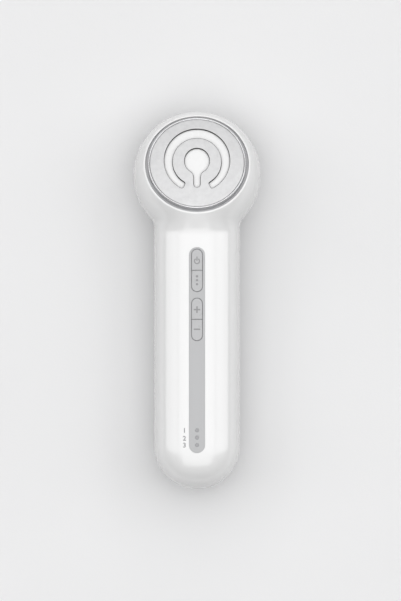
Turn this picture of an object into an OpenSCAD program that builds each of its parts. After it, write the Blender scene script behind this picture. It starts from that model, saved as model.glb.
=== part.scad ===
// Hand-held facial toning device: a straight round handle with four buttons and a
// ball-like head that carries a tilted round applicator. Millimetres. The device lies
// on its back: X is the width, +Y points to the head and +Z is the front.

/* [Housing] */
// Overall length, from the tail to the tip of the head
length = 190; // [186:1:230]
// Width of the handle
handle_w = 43.2; // [42:0.2:52]
// Radius of the round head, seen from the front
head_r = 32; // [30.5:0.5:38]
// Height of the front above the parting plane, along the handle
front_depth = 19; // [17.5:0.5:23]
// Depth of the full back curve below the parting plane
back_depth = 19.4; // [19.2:0.1:21]
// Depth at which the back is flat, so that the device rests on it
rest_depth = 19; // [18:0.5:20]
// Radius of the fillets that join the head to the handle, seen from the front
neck_fillet = 7; // [4:0.5:12]
// Wall thickness of the two shells
wall = 2; // [1.6:0.1:2.4]
// Squareness of the handle's section: 2 is an ellipse
handle_square = 2.4; // [2.1:0.05:2.8]
// Squareness of the head's section
head_square = 2.05; // [2:0.05:2.4]

/* [Applicator] */
// Tilt of the applicator's face towards the tip of the head
face_tilt = 22; // [16:1:26]
// Distance of the face from the head's centre
face_rise = 14.5; // [13.5:0.25:15.5]
// Width of the flat land between the opening and the outer skin
land_w = 0.8; // [0.5:0.1:1.4]
// Outer radius of the rim electrode
rim_r = 24.65; // [20:0.05:24.9]
// Radial thickness of the rim electrode
rim_t = 0.95; // [0.7:0.05:1.1]
// Height of the rim above the land
rim_h = 1.7; // [1:0.1:2.4]
// Width of the open ring between the rim and the shell
ring_gap = 1.35; // [0.8:0.05:1.5]
// Depth of the shell's collar under the land
collar_h = 4; // [3.5:0.25:4.5]
// Rise of the plate's dome above its own edge
plate_rise = 1.9; // [1:0.1:2.6]
// Thickness of the electrode plate
plate_t = 1.15; // [0.8:0.05:1.3]
// Rise of the light windows into the plate's openings, from its underside
window_rise = 0.1; // [0:0.05:0.8]
// Gap between the windows and the plate
window_gap = 0.2; // [0.1:0.05:0.3]
// Distance of the ring window from the plate's edge, without its shift
ring_window_margin = 6.8; // [6.4:0.05:8]
// Width of the ring window, without its shift
ring_window_w = 4.45; // [3:0.05:5]
// Offset of the ring window's outer circle towards the tip
ring_window_shift = 0.9; // [0:0.05:1.2]
// Half of the angle that the ring window leaves open
ring_window_open = 27; // [20:1:40]
// Radius of the round middle window
keyhole_r = 6.45; // [5:0.05:7]
// Width of the middle window's stem
keyhole_stem_w = 3.7; // [2.6:0.1:4.4]
// Reach of the stem from the middle of the plate
keyhole_stem_reach = 13.2; // [11:0.1:15]

/* [Controls] */
// Width of the strip's border beside the buttons
strip_border = 1.1; // [0.9:0.1:2]
// Thickness of the control strip
strip_t = 1.2; // [1:0.05:1.4]
// Distance of the strip's upper end below the neck
strip_below_neck = 4.4; // [3:0.1:8]
// Reach of the strip's lower end past the start of the round tail
strip_past_tail = 3.3; // [1:0.1:4]
// Length of the slot that holds a pair of buttons
pair_l = 21.7; // [20:0.1:23]
// Width of that slot
pair_w = 5.8; // [5:0.1:7]
// Distance between the two slots
pair_gap = 2.9; // [2:0.1:5]
// Distance of the upper slot from the strip's end
pair_margin = 0.8; // [0.7:0.1:2]
// Gap round a button
button_gap = 0.25; // [0.2:0.01:0.35]
// Height of a button above the strip
button_proud = 0.12; // [0:0.01:0.3]
// Travel of a button
button_travel = 0.3; // [0.2:0.05:0.4]
// Diameter of an indicator lens
lens_d = 1.9; // [1.5:0.1:2.2]
// Distance between the indicator lenses
lens_pitch = 3.7; // [3:0.1:4.2]

/* [Inside] */
// Width of the main circuit board
board_w = 24; // [22:0.5:24]
// Thickness of the circuit boards
board_t = 1.6; // [1:0.1:1.6]
// Distance of the main board's top below the front of the handle
board_below_front = 9; // [8.8:0.1:10]
// Diameter of the battery cell
cell_d = 18.4; // [14:0.1:18.6]
// Length of the battery cell
cell_l = 65; // [50:0.5:66]
// Height of the battery's axis above the resting plane
cell_z = 12.2; // [12:0.1:12.8]
// Diameter of the housing screws
screw_d = 2; // [1.6:0.1:2.2]

/* [Hidden] */

round_fn = 96; // facets of a large round shape, where it isn't rebuilt exactly
small_fn = 32;
far = 300; // reaches past the whole device
slide = 0.1; // clearance between pieces that drop into each other
seat = 0.05; // radial clearance of a pin or screw in its hole

// ---- Key places of the housing ----
hw = handle_w / 2;
tip_y = length / 2;
tail_y = -length / 2;
cap_y = tail_y + hw; // where the round tail starts
head_y = tip_y - head_r;
neck_y = head_y - head_r; // where the front starts to rise to the head
axis_z = rest_depth; // parting plane
front_z = axis_z + front_depth;
neck_drop = sqrt(pow(head_r + neck_fillet, 2) - pow(hw + neck_fillet, 2));
fillet_y = head_y - neck_drop;

// ---- Key places of the applicator, in its own frame: its Z is the face's normal ----
opening_r = rim_r + ring_gap;
land_r = opening_r + land_w;
land_y = head_y + face_rise * sin(face_tilt);
land_z = face_rise * cos(face_tilt); // above the parting plane
land_lo = land_y - land_r * cos(face_tilt);
land_hi = land_y + land_r * cos(face_tilt);
plate_gap = 0.25;
plate_r = rim_r - rim_t - plate_gap;
ring_window_r = plate_r - ring_window_margin;
ring_window_inner = ring_window_r - ring_window_w;
plate_edge = rim_h - 0.25; // top of the plate at its edge
plate_seat = plate_edge - plate_t;
dome_r = (plate_r * plate_r + plate_rise * plate_rise) / (2 * plate_rise);
cup_wall_r = rim_r - rim_t - slide;
window_r = cup_wall_r - 1.8;
window_seat = plate_seat - 1.2;
cup_inner_r = window_r - 0.9;
board_r = cup_inner_r - 0.4;
board_seat = window_seat - 4.7;
board_top = board_seat + board_t;
board_ledge = 1.8;
rim_seat = -3;
flange_top = -collar_h - 0.9;
flange_t = 1.5;
flange_r = land_r;
cup_floor = board_seat - 3.4;
cup_floor_t = 1.5;
cup_bottom = cup_floor - cup_floor_t;
gasket_top = -1.3;
contact_r = board_r - 1.1;
contact_tip_d = 1;
thermistor_v = (keyhole_r + ring_window_inner) / 2;
thermistor_d = 2.4;
mouth_v = -8.6; // place of the ribbon's mouth in the cup's floor
ear_u = 7;
ear_r = 2.6;
ear_boss_r = 2.3;
ear_v = -sqrt(pow(flange_r + ear_boss_r + 2 * slide, 2) - ear_u * ear_u);

// ---- Key places of the controls ----
strip_w = pair_w + 2 * strip_border;
strip_top_y = neck_y - strip_below_neck;
strip_end_y = cap_y - strip_past_tail;
strip_z = front_z - strip_t; // underside of the strip
flange_w = pair_w + 0.7; // flange that keeps a button under the strip
flange_gap = 0.2;
cap_flange_t = 0.7;
flange_z = strip_z - flange_gap - cap_flange_t; // underside of that flange
divider = 0.3; // gap between the two buttons of a pair
board_z = front_z - board_below_front; // top of the main board
switch_side = 6;
switch_h = 3.2;
stem_d = 3.2;
stem_rise = 1.4; // above the switch's base
stem_sunk = 1.0; // inside the base
stem_gap = 0.3;
stem_z = board_z + switch_h + stem_rise;
lens_y = [for (i = [2:-1:0]) strip_end_y + strip_w / 2 + i * lens_pitch];
led_h = 0.7;
// Middle of the slot of each pair, and of each of the four buttons
pair_y = [for (i = [0:1]) strip_top_y - pair_margin - pair_l / 2 - i * (pair_l + pair_gap)];
button_y = [for (i = [0:3]) pair_y[floor(i / 2)] + (i % 2 == 0 ? 1 : -1) * pair_l / 4];

// ---- Key places inside the handle ----
frame_w = cell_d + 1;
rail_t = 1.7;
board_hi_y = strip_top_y + 3.4;
board_lo_y = cap_y - 6.6;
board_under = board_z - board_t;
cell_lo_y = cap_y + 3.4;
cell_hi_y = cell_lo_y + cell_l;
tab_t = 0.3;
lead_d = 1.2;
rib_t = 1.8;
frame_lo_y = cell_lo_y - tab_t - lead_d - 0.6 - rib_t;
frame_cross_y = cell_hi_y + tab_t + lead_d + 0.6;
frame_hi_y = board_hi_y - 1;
boss_x = 15.3 / 21.6 * hw;
boss_r = 2.6;
boss_y = [neck_y - 7, cap_y + 15.4];
ear_z = axis_z + 4; // top of the frame's ears, where the bosses end
ear_t = 2;
head_d = 2 * screw_d;
head_t = 0.7 * screw_d;
hook_y = [cap_y + 13.4, (cap_y + neck_y) / 2, neck_y - 17, head_y];
hook_l = 6;
socket_w = 8.94;
socket_h = 3.26;
socket_l = 7.3;
socket_y = tail_y + 0.7;
socket_wall = 0.3;
charge_t = 1.2;
charge_z = axis_z - socket_h / 2; // top of the charge board
charge_lo_y = tail_y + 4.5;
charge_hi_y = board_lo_y + 2.5;
peg_x = 4.6;
peg_y = charge_hi_y - 4.5;

// ================= Outer form =================

function ease(v) = let (c = min(1, max(0, v))) c * c * (3 - 2 * c);
function hermite(u, p0, m0, p1, m1) =
    (2 * u * u * u - 3 * u * u + 1) * p0 + (u * u * u - 2 * u * u + u) * m0
    + (3 * u * u - 2 * u * u * u) * p1 + (u * u * u - u * u) * m1;

// Squareness of the section at y
function square_at(y) =
    handle_square + (head_square - handle_square) * ease((y - neck_y) / (land_lo - neck_y));

// Half of the width at y, seen from the front, for a skin inset by t
function join_y(t) = head_y - (head_r - t) * neck_drop / (head_r + neck_fillet);
function half_w(y, t = 0) =
    y >= join_y(t) ? sqrt(max(0, pow(head_r - t, 2) - pow(y - head_y, 2)))
    : y > fillet_y ? hw + neck_fillet - sqrt(pow(neck_fillet + t, 2) - pow(y - fillet_y, 2))
    : y > cap_y ? hw - t
    : sqrt(max(0, pow(hw - t, 2) - pow(cap_y - y, 2)));

// Height of the front in the head: each section passes through the land's circle
function land_f(y) = let (
    s = (y - land_y) / cos(face_tilt),
    n = square_at(y),
    x = sqrt(max(0, land_r * land_r - s * s)),
    z = land_z - s * sin(face_tilt)
) z / pow(1 - pow(x / half_w(y), n), 1 / n);

// Larger of two heights, with the corner between them rounded off
bend = 0.8;
function smooth_max(a, b) = max(a, b) + pow(max(0, bend - abs(a - b)), 2) / (4 * bend);

// Before the land the front climbs a straight slope from the handle, and continues its
// height and slope. Past the land it runs to the tip on a conic that continues height and slope
step = 0.05;
lo_f = land_f(land_lo);
lo_slope = (land_f(land_lo + step) - lo_f) / step;
hi_f = land_f(land_hi);
hi_slope = (land_f(land_hi - step) - hi_f) / step;
tip_reach = tip_y - land_hi;
tip_c = (2 * hi_f * hi_slope * tip_reach - hi_f * hi_f) / pow(tip_reach, 2);
tip_b = 2 * hi_f * hi_slope - 2 * tip_c * tip_reach;

function tail_arc(y) = sqrt(max(0, 1 - pow((cap_y - y) / hw, 2)));
function front_f(y) =
    y >= land_hi ? sqrt(max(0, tip_b * (tip_y - y) + tip_c * pow(tip_y - y, 2)))
    : y > land_lo ? land_f(y)
    : y > cap_y ? smooth_max(front_depth, lo_f + (y - land_lo) * lo_slope)
    : front_depth * tail_arc(y);
function back_f(y) =
    y > head_y ? back_depth * sqrt(max(0, 1 - pow((y - head_y) / head_r, 2)))
    : y > cap_y ? back_depth
    : back_depth * tail_arc(y);

// Places of the sections between the two poles: close together where the form turns,
// and spread over the head so that they meet the land's circle at even angles
tail_n = 8;
neck_n = 7;
land_n = 24;
tip_n = 3;
outer_stations = [
    for (i = [1:tail_n]) cap_y - hw * cos(i * 90 / tail_n),
    for (i = [0:neck_n - 1]) neck_y + (land_lo - neck_y) * i / neck_n,
    for (i = [0:land_n]) land_y - land_r * cos(face_tilt) * cos(i * 180 / land_n),
    for (i = [1:tip_n - 1]) land_hi + (tip_y - land_hi) * sin(i * 90 / tip_n),
];
function inset_station(y, t) =
    y > head_y ? head_y + (y - head_y) * (head_r - t) / head_r
    : y < cap_y ? cap_y + (y - cap_y) * (hw - t) / hw
    : y;

// Angle at which the section at y meets the land's circle. One column of points follows
// it, so that the land's edge is a clean circle.
edge_share = 3 / 4; // share of a quarter's columns below that edge
edge_max = 86;
function edge_angle(y) = let (s = (y - land_y) / cos(face_tilt), even = 90 * edge_share)
    y <= land_lo ? even + (edge_max - even) * ease((y - neck_y) / (land_lo - neck_y))
    : y >= land_hi ? edge_max
    : min(edge_max, acos(pow(sqrt(land_r * land_r - s * s) / half_w(y), square_at(y) / 2)));
function quarter_angle(y, q) = let (edge = edge_angle(y))
    q < edge_share ? edge * q / edge_share
    : edge + (90 - edge) * (q - edge_share) / (1 - edge_share);
function front_angles(y, n) = [for (i = [0:n])
    i <= n / 2 ? quarter_angle(y, 2 * i / n) : 180 - quarter_angle(y, 2 - 2 * i / n)];
function back_angles(n) = [for (i = [0:n]) 180 + 180 * i / n];

// Points of one section, a superellipse, at the given angles. An inset skin is the
// outer section drawn in to the inset width.
function section(y, t, angles) = let (
    p = 2 / square_at(y),
    w = half_w(y, t),
    inset = w / half_w(y),
    f = front_f(y) * inset,
    b = back_f(y) * inset
) [for (a = angles) let (c = cos(a), s = sin(a))
    [w * sign(c) * pow(abs(c), p), y, axis_z + (s > 0 ? f : b) * sign(s) * pow(abs(s), p)]];

// Loft of the sections, inset by t, with n columns a half: the whole form, or its
// front or back half closed along the parting plane
module housing(part, t = 0, n = 24) {
    ys = [for (y = outer_stations) inset_station(y, t)];
    rings = [for (y = ys) section(y, t,
        part == "front" ? front_angles(y, n)
        : part == "back" ? back_angles(n)
        : concat(front_angles(y, n), [for (i = [1:n - 1]) back_angles(n)[i]]))];
    m = len(rings[0]);
    points = concat([[0, tail_y + t, axis_z]], [for (r = rings) each r], [[0, tip_y - t, axis_z]]);
    last = len(points) - 1;
    faces = concat(
        [for (i = [0:m - 1]) [0, 1 + (i + 1) % m, 1 + i]],
        [for (j = [0:len(ys) - 2], i = [0:m - 1])
            let (a = 1 + j * m + i, b = 1 + j * m + (i + 1) % m)
            each [[a, b, a + m], [b, b + m, a + m]]],
        [for (i = [0:m - 1]) [last, last - m + i, last - m + (i + 1) % m]]
    );
    polyhedron(points, faces, convexity = 6);
}

// ================= Helpers =================

// Moves its children into the applicator's frame
module on_face() translate([0, land_y, axis_z + land_z]) rotate([-face_tilt, 0, 0]) children();

// Everything above height w over the face
module above_face(w) on_face() translate([0, 0, w]) cylinder(r = head_r, h = far, $fn = round_fn);

module rod(d, h, fn = small_fn) cylinder(d = d, h = h, $fn = fn);

module block(size, at = [0, 0, 0])
    translate([at[0] - size[0] / 2, at[1] - size[1] / 2, at[2]]) cube(size);

module both_sides() {
    children();
    mirror([1, 0, 0]) children();
}

// Slot outline with round ends, long in Y
module slot_2d(w, l) {
    square([w, l - w], center = true);
    for (s = [-1, 1]) translate([0, s * (l - w) / 2]) circle(d = w, $fn = small_fn);
}

// Slot outline with round ends, long in X
module wide_slot_2d(w, h) rotate(90) slot_2d(h, w);

// Everything under the crowned front of the handle, lifted by a height
crown_drop = front_depth * (1 - pow(1 - pow(strip_w / handle_w, handle_square), 1 / handle_square));
crown_r = (pow(strip_w / 2, 2) + pow(crown_drop, 2)) / (2 * crown_drop);
tail_crown_r = hw * hw / front_depth;
tail_crown_lift = 0.02;
module under_crown(lift = 0) intersection() {
    translate([0, far / 2, front_z + lift - crown_r]) rotate([90, 0, 0])
        cylinder(r = crown_r, h = far, $fn = 180);
    union() {
        translate([-hw, cap_y, 0]) cube([handle_w, far, front_z + 2]);
        translate([-hw, cap_y, front_z + lift + tail_crown_lift - tail_crown_r])
            rotate([0, 90, 0]) cylinder(r = tail_crown_r, h = handle_w, $fn = 180);
    }
}

// ================= Shells =================

module cavity() difference() {
    housing("whole", wall, 16);
    above_face(-collar_h);
}

// Bosses that stand in from the front shell: four for the frame, two for the cup
module front_bosses() {
    both_sides() for (y = boss_y) translate([boss_x, y, ear_z]) rod(2 * boss_r, far);
    on_face() both_sides() translate([ear_u, ear_v, cup_floor]) rod(2 * ear_boss_r, far);
}

module boss_holes() {
    both_sides() for (y = boss_y) translate([boss_x, y, ear_z - 1]) rod(screw_d + 2 * seat, 6.5);
    on_face() both_sides() translate([ear_u, ear_v, cup_floor - 1]) rod(screw_d + 2 * seat, 3.8);
}

// Snap hooks of the rear shell, and the pockets that they catch in
module hook(y) {
    x = half_w(y, wall) - 0.4;
    translate([x - 1.2, y - hook_l / 2, axis_z - 4.5]) cube([1.2, hook_l, 8.1]);
    translate([x - 1.2, y - hook_l / 2, axis_z - 4.5]) cube([2, hook_l, 4.1]);
    translate([x - 0.1, y - hook_l / 2, axis_z + 2.4]) cube([0.8, hook_l, 1]);
}

module hook_pocket(y) translate([half_w(y, wall) - 1.5, y - hook_l / 2 - slide, axis_z + 2.3])
    cube([2.1, hook_l + 2 * slide, 1.3]);

module socket_cut() translate([0, socket_y + socket_l, axis_z]) rotate([90, 0, 0])
    linear_extrude(socket_l + 5) wide_slot_2d(socket_w + 2 * slide, socket_h + 2 * slide);

module strip_pocket() translate([0, (strip_top_y + strip_end_y) / 2, strip_z])
    linear_extrude(far) slot_2d(strip_w + 2 * slide, strip_top_y - strip_end_y + 2 * slide);

module strip_holes() {
    for (y = pair_y) translate([0, y, board_z])
        linear_extrude(far) slot_2d(flange_w + 0.6, pair_l + flange_w + 0.6 - pair_w);
    translate([0, lens_y[1], board_z])
        linear_extrude(far) slot_2d(lens_d + 1, 2 * lens_pitch + lens_d + 1);
}

module front_shell() color("white") difference() {
    housing("front");
    difference() {
        cavity();
        front_bosses();
    }
    above_face(0);
    on_face() translate([0, 0, -collar_h - 2]) cylinder(r = opening_r, h = far, $fn = round_fn);
    strip_pocket();
    strip_holes();
    boss_holes();
    both_sides() for (y = hook_y) hook_pocket(y);
    socket_cut();
}

// Ribs that cradle the battery, a rib that backs the cup and posts for the charge board
module rear_ribs() {
    difference() {
        for (y = [cell_lo_y + 8, (cell_lo_y + cell_hi_y) / 2, cell_hi_y - 8])
            block([handle_w, rib_t, cell_z - 1], [0, y, 0]);
        translate([0, far / 2, cell_z]) rotate([90, 0, 0]) rod(cell_d + 2 * seat, far, round_fn);
    }
    difference() {
        for (x = [-8, 8]) block([rib_t, 24, far], [x, head_y + 12, -far / 2]);
        above_face(cup_bottom - slide);
    }
    both_sides() translate([peg_x, peg_y, 0]) rod(4, charge_z - charge_t);
}

module rear_shell() color("white") {
    difference() {
        housing("back");
        translate([-far / 2, -far / 2, -far]) cube(far);
        difference() {
            cavity();
            rear_ribs();
        }
        socket_cut();
    }
    both_sides() for (y = hook_y) hook(y);
    both_sides() translate([peg_x, peg_y, charge_z - charge_t - 1]) rod(1.6, charge_t + 1.3);
}

// ================= Controls =================

module control_strip() color("silver") intersection() {
    translate([0, (strip_top_y + strip_end_y) / 2, strip_z]) linear_extrude(strip_t + 1) difference() {
        slot_2d(strip_w, strip_top_y - strip_end_y);
        for (y = pair_y) translate([0, y - (strip_top_y + strip_end_y) / 2]) slot_2d(pair_w, pair_l);
        for (y = lens_y) translate([0, y - (strip_top_y + strip_end_y) / 2])
            circle(d = lens_d + 2 * seat, $fn = small_fn);
    }
    under_crown();
}

// Middle of the block that cuts one button out of its pair
function half_y(i) = pair_y[floor(i / 2)] + (i % 2 == 0 ? 1 : -1) * (pair_l + divider) / 2;

// Cap with a flange under the strip, and a post down to the switch
module button(i) {
    intersection() {
        translate([0, pair_y[floor(i / 2)], flange_z]) {
            linear_extrude(cap_flange_t) slot_2d(flange_w, pair_l + flange_w - pair_w);
            linear_extrude(far) slot_2d(pair_w - 2 * button_gap, pair_l - 2 * button_gap);
        }
        block([handle_w, pair_l, far], [0, half_y(i), 0]);
        under_crown(button_proud);
    }
    translate([0, button_y[i], stem_z]) rod(3, flange_z - stem_z + seat);
}

module power_button() color("gainsboro") button(0);
module mode_button() color("gainsboro") button(1);
module plus_button() color("gainsboro") button(2);
module minus_button() color("gainsboro") button(3);

module switch_stem(i) color("dimgray") translate([0, button_y[i], board_z + switch_h - stem_sunk])
    rod(stem_d, stem_sunk + stem_rise);

module switch_bases() color("black") for (y = button_y) translate([0, y, board_z]) difference() {
    block([switch_side, switch_side, switch_h]);
    translate([0, 0, switch_h - stem_sunk - button_travel - 0.5]) rod(stem_d + 2 * stem_gap, far);
}

module indicator_lenses() color("whitesmoke") for (y = lens_y)
    translate([0, y, board_z + led_h + 0.3]) rod(lens_d, front_z - board_z - led_h - 0.35);

module indicator_leds() color("ivory") for (y = lens_y) block([1.6, 0.8, led_h], [0, y, board_z]);

module main_board() color("darkgreen") difference() {
    translate([-board_w / 2, board_lo_y, board_under])
        cube([board_w, board_hi_y - board_lo_y, board_t]);
    both_sides() for (y = [board_lo_y + 3, board_hi_y - 3])
        translate([board_w / 2 - 2.2, y, 0]) rod(2, far);
}

module control_chips() color("black") {
    block([7, 7, 0.9], [0, cap_y + 17, board_z]);
    block([4, 4, 0.8], [-6, cap_y + 29, board_z]);
    block([5, 6.2, 1.6], [7, cap_y + 26, board_z]);
    block([6, 6, 3], [-6.5, cap_y + 51, board_z]);
    for (i = [0:3]) block([1.2, 2, 0.9], [3 + 2.4 * i, cap_y + 50, board_z]);
    for (i = [0:3]) block([2, 1.2, 0.9], [-9, cap_y + 11 + 2.6 * i, board_z]);
}

// Flat transformer of the radio-frequency stage: ferrite halves round a winding
trafo_y = cap_y + 39;
trafo = [14, 13, 5];
module transformer_core() color("dimgray") translate([0, trafo_y, board_z]) difference() {
    block(trafo);
    for (s = [-1, 1]) translate([s * 3.9, 0, 1]) block([3, trafo[1] + 2, trafo[2] - 2]);
}

module transformer_winding() color("darkorange") translate([0, trafo_y, board_z + 1.1]) difference() {
    block([10.4, 15.6, trafo[2] - 2.2]);
    translate([0, 0, -1]) block([5, trafo[1] + 0.2, trafo[2]]);
}

// ================= Battery and frame =================

module battery_cell() color("steelblue") translate([0, cell_hi_y, cell_z]) rotate([90, 0, 0]) {
    rod(cell_d, cell_l, round_fn);
}

module battery_tabs() color("silver") for (y = [cell_lo_y - tab_t, cell_hi_y])
    translate([-3, y, cell_z - 3]) cube([6, tab_t, 6]);

module battery_leads() color("firebrick")
    for (y = [cell_lo_y - tab_t - lead_d / 2, cell_hi_y + tab_t + lead_d / 2])
        translate([0, y, cell_z - 2.5]) rod(lead_d, board_under - cell_z + 2.5);

// Chassis: two rails and cross ribs under the board, cut round the battery
module inner_frame() color("lightgray") difference() {
    frame_h = board_under - cell_z;
    ear_x = frame_w / 2 + 0.5;
    union() {
        both_sides() translate([frame_w / 2, frame_lo_y, cell_z])
            cube([rail_t, frame_hi_y - frame_lo_y, frame_h]);
        for (y = [frame_lo_y, cell_lo_y + 14, cell_hi_y - 14, frame_cross_y, frame_hi_y - rib_t])
            translate([-frame_w / 2 - seat, y, cell_z]) cube([frame_w + 2 * seat, rib_t, frame_h]);
        both_sides() for (y = boss_y) {
            translate([boss_x, y, ear_z - ear_t]) rod(2 * boss_r, ear_t);
            translate([ear_x, y - boss_r, ear_z - ear_t]) cube([boss_x - ear_x, 2 * boss_r, ear_t]);
        }
    }
    translate([0, cell_hi_y + 1, cell_z]) rotate([90, 0, 0]) rod(cell_d + 0.4, cell_l + 2, round_fn);
    both_sides() for (y = boss_y) translate([boss_x, y, 0]) rod(screw_d + 2 * seat, far);
}

module screw(l) {
    translate([0, 0, -head_t / 4]) rod(screw_d, l + head_t / 4);
    difference() {
        translate([0, 0, -head_t]) rod(head_d, head_t);
        translate([0, 0, -head_t - 1]) cylinder(d = screw_d, h = 1 + head_t / 2, $fn = 6);
    }
}

module frame_screws() color("silver") both_sides() for (y = boss_y)
    translate([boss_x, y, ear_z - ear_t]) screw(6.5);

// ================= Charging socket =================

module socket_2d(inset = 0) wide_slot_2d(socket_w - 2 * inset, socket_h - 2 * inset);

module charge_socket() color("silver")
    translate([0, socket_y + socket_l, axis_z]) rotate([90, 0, 0]) difference() {
        linear_extrude(socket_l) socket_2d();
        translate([0, 0, 0.6]) linear_extrude(socket_l) socket_2d(socket_wall);
    }

module socket_tongue() color("black")
    block([6.7, socket_l - 1.4, 0.7], [0, socket_y + (socket_l + 0.2) / 2, axis_z - 0.35]);

module charge_board() color("darkgreen") difference() {
    translate([-6.9, charge_lo_y, charge_z - charge_t])
        cube([13.8, charge_hi_y - charge_lo_y, charge_t]);
    both_sides() translate([peg_x, peg_y, 0]) rod(1.6 + 2 * slide, far);
}

module charge_leads() color("firebrick") for (x = [-3, 3])
    translate([x, board_lo_y + 1, charge_z]) rod(lead_d, board_under - charge_z);

// ================= Applicator =================

// Everything under the plate's dome, lowered by a depth
module under_dome(depth, r) intersection() {
    translate([0, 0, plate_edge + plate_rise - depth - dome_r]) sphere(r = dome_r, $fn = 180);
    translate([0, 0, window_seat]) cylinder(r = r, h = 20, $fn = round_fn);
}

// Height of the plate's underside at radius r
function plate_under(r) = plate_edge + plate_rise - plate_t - dome_r + sqrt(dome_r * dome_r - r * r);

// Outline of the ring window: eccentric circles, open towards the handle
module ring_window_2d() offset(r = 1, $fn = small_fn) offset(delta = -1) difference() {
    translate([0, ring_window_shift]) circle(r = ring_window_r, $fn = 72);
    circle(r = ring_window_inner, $fn = 72);
    polygon([[0, 0], for (s = [-1, 1]) 30 * [s * sin(ring_window_open), -cos(ring_window_open)]]);
}

// Outline of the middle window: a disc with a stem, filleted where they meet
module keyhole_2d() offset(r = -3, $fn = small_fn) offset(delta = 3) {
    circle(r = keyhole_r, $fn = 48);
    translate([0, -(keyhole_stem_reach - keyhole_stem_w / 2)]) circle(d = keyhole_stem_w, $fn = 24);
    translate([-keyhole_stem_w / 2, -(keyhole_stem_reach - keyhole_stem_w / 2)])
        square([keyhole_stem_w, keyhole_stem_reach - keyhole_stem_w / 2]);
}

module windows_2d(inset = 0) offset(delta = -inset) {
    ring_window_2d();
    keyhole_2d();
}

module electrode_plate() color("silver") on_face() difference() {
    under_dome(0, plate_r);
    under_dome(plate_t, plate_r + 1);
    translate([0, 0, window_seat - 1]) linear_extrude(20) windows_2d();
}

module light_window() color("white") on_face() difference() {
    union() {
        under_dome(plate_t + slide, window_r - slide);
        intersection() {
            under_dome(plate_t - window_rise, window_r - 2);
            translate([0, 0, window_seat]) linear_extrude(20) windows_2d(window_gap);
        }
    }
    for (s = [-1, 1]) translate([s * contact_r, 0, -far / 2]) rod(2.2, far);
    translate([0, thermistor_v, -far / 2]) rod(3, far);
}

// Ring with a rounded upper edge
module rim_electrode() color("lightgray") on_face() rotate_extrude($fn = 180) {
    r = rim_t / 2;
    polygon([
        [rim_r, rim_seat],
        for (a = [0:15:180]) [rim_r - r + r * cos(a), rim_h - r + r * sin(a)],
        [rim_r - rim_t, rim_seat],
    ]);
}

module cup_gasket() color("gray") on_face() rotate_extrude($fn = 180) polygon([
    [rim_r + 0.2, flange_top], [flange_r - 0.1, flange_top], [flange_r - 0.1, -collar_h],
    [opening_r - slide, -collar_h], [opening_r - slide, gasket_top], [rim_r + 0.2, gasket_top],
]);

// Cup that carries the electrodes, the window and the head board, clamped by two ears
module applicator_cup() color("whitesmoke") on_face() difference() {
    union() {
        rotate_extrude($fn = 180) polygon([
            [0, cup_bottom], [rim_r, cup_bottom], [rim_r, flange_top - flange_t],
            [flange_r, flange_top - flange_t], [flange_r, flange_top], [rim_r, flange_top],
            [rim_r, rim_seat], [cup_wall_r, rim_seat], [cup_wall_r, plate_seat],
            [window_r, plate_seat], [window_r, window_seat], [cup_inner_r, window_seat],
            [cup_inner_r, board_seat], [cup_inner_r - board_ledge, board_seat],
            [cup_inner_r - board_ledge, cup_floor], [0, cup_floor],
        ]);
        both_sides() translate([ear_u, ear_v, cup_bottom]) rod(2 * ear_r, cup_floor_t);
        both_sides() translate([ear_u - ear_r, ear_v, cup_bottom]) cube([2 * ear_r, 8, cup_floor_t]);
    }
    both_sides() translate([ear_u, ear_v, -far / 2]) rod(screw_d + 2 * seat, far);
    // Slots for the two rim contacts
    for (s = [-1, 1]) translate([-1.3, s > 0 ? cup_inner_r - 0.5 : -cup_wall_r - 0.5, window_seat - 1.7])
        cube([2.6, cup_wall_r - cup_inner_r + 1, 1.2]);
    // Mouth for the ribbon
    block([ribbon_w + 1.4, 4.4, cup_floor - cup_bottom + 2], [0, mouth_v, cup_bottom - 1]);
}

module head_screws() color("silver") on_face() both_sides()
    translate([ear_u, ear_v, cup_bottom]) screw(cup_floor_t + 2.6);

module head_board() color("white") on_face() translate([0, 0, board_seat])
    cylinder(r = board_r, h = board_t, $fn = round_fn);

module treatment_leds() color("lightyellow") on_face() {
    ring_r = (ring_window_r + ring_window_inner) / 2;
    for (i = [0:11]) rotate(-90 + 45 + i * 270 / 11) block([3.5, 2.8, 0.8], [ring_r, 0, board_top]);
    for (i = [0:3]) rotate(45 + 90 * i) block([2.8, 2.8, 0.8], [3.6, 0, board_top]);
}

// Spring pins to the plate, and leaves to the rim through the slots in the cup
module electrode_contacts() color("gold") on_face() {
    reach = plate_under(contact_r + contact_tip_d / 2) - 0.02;
    for (s = [-1, 1]) translate([s * contact_r, 0, board_top]) {
        rod(1.6, -1 - board_top);
        rod(contact_tip_d, reach - board_top);
    }
    for (s = [0, 180]) rotate(s) {
        translate([-1, board_r - 0.9, board_top]) cube([2, 0.4, window_seat - 0.9 - board_top]);
        translate([-1, board_r - 0.9, window_seat - 1.3]) cube([2, rim_r - rim_t - board_r + 0.88, 0.4]);
    }
}

module skin_thermistor() color("dimgray") on_face() translate([0, thermistor_v, board_top])
    rod(thermistor_d, plate_under(thermistor_v + thermistor_d / 2) - board_top - 0.02);

// ================= Ribbon between the boards =================

ribbon_w = 8;
ribbon_t = 0.3;
plug_h = 1.5;
plug_v = mouth_v + 0.6;
// Point in the YZ plane for a place in the applicator's frame
function face_point(v, w) = [
    land_y + v * cos(face_tilt) + w * sin(face_tilt),
    axis_z + land_z - v * sin(face_tilt) + w * cos(face_tilt)
];
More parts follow.
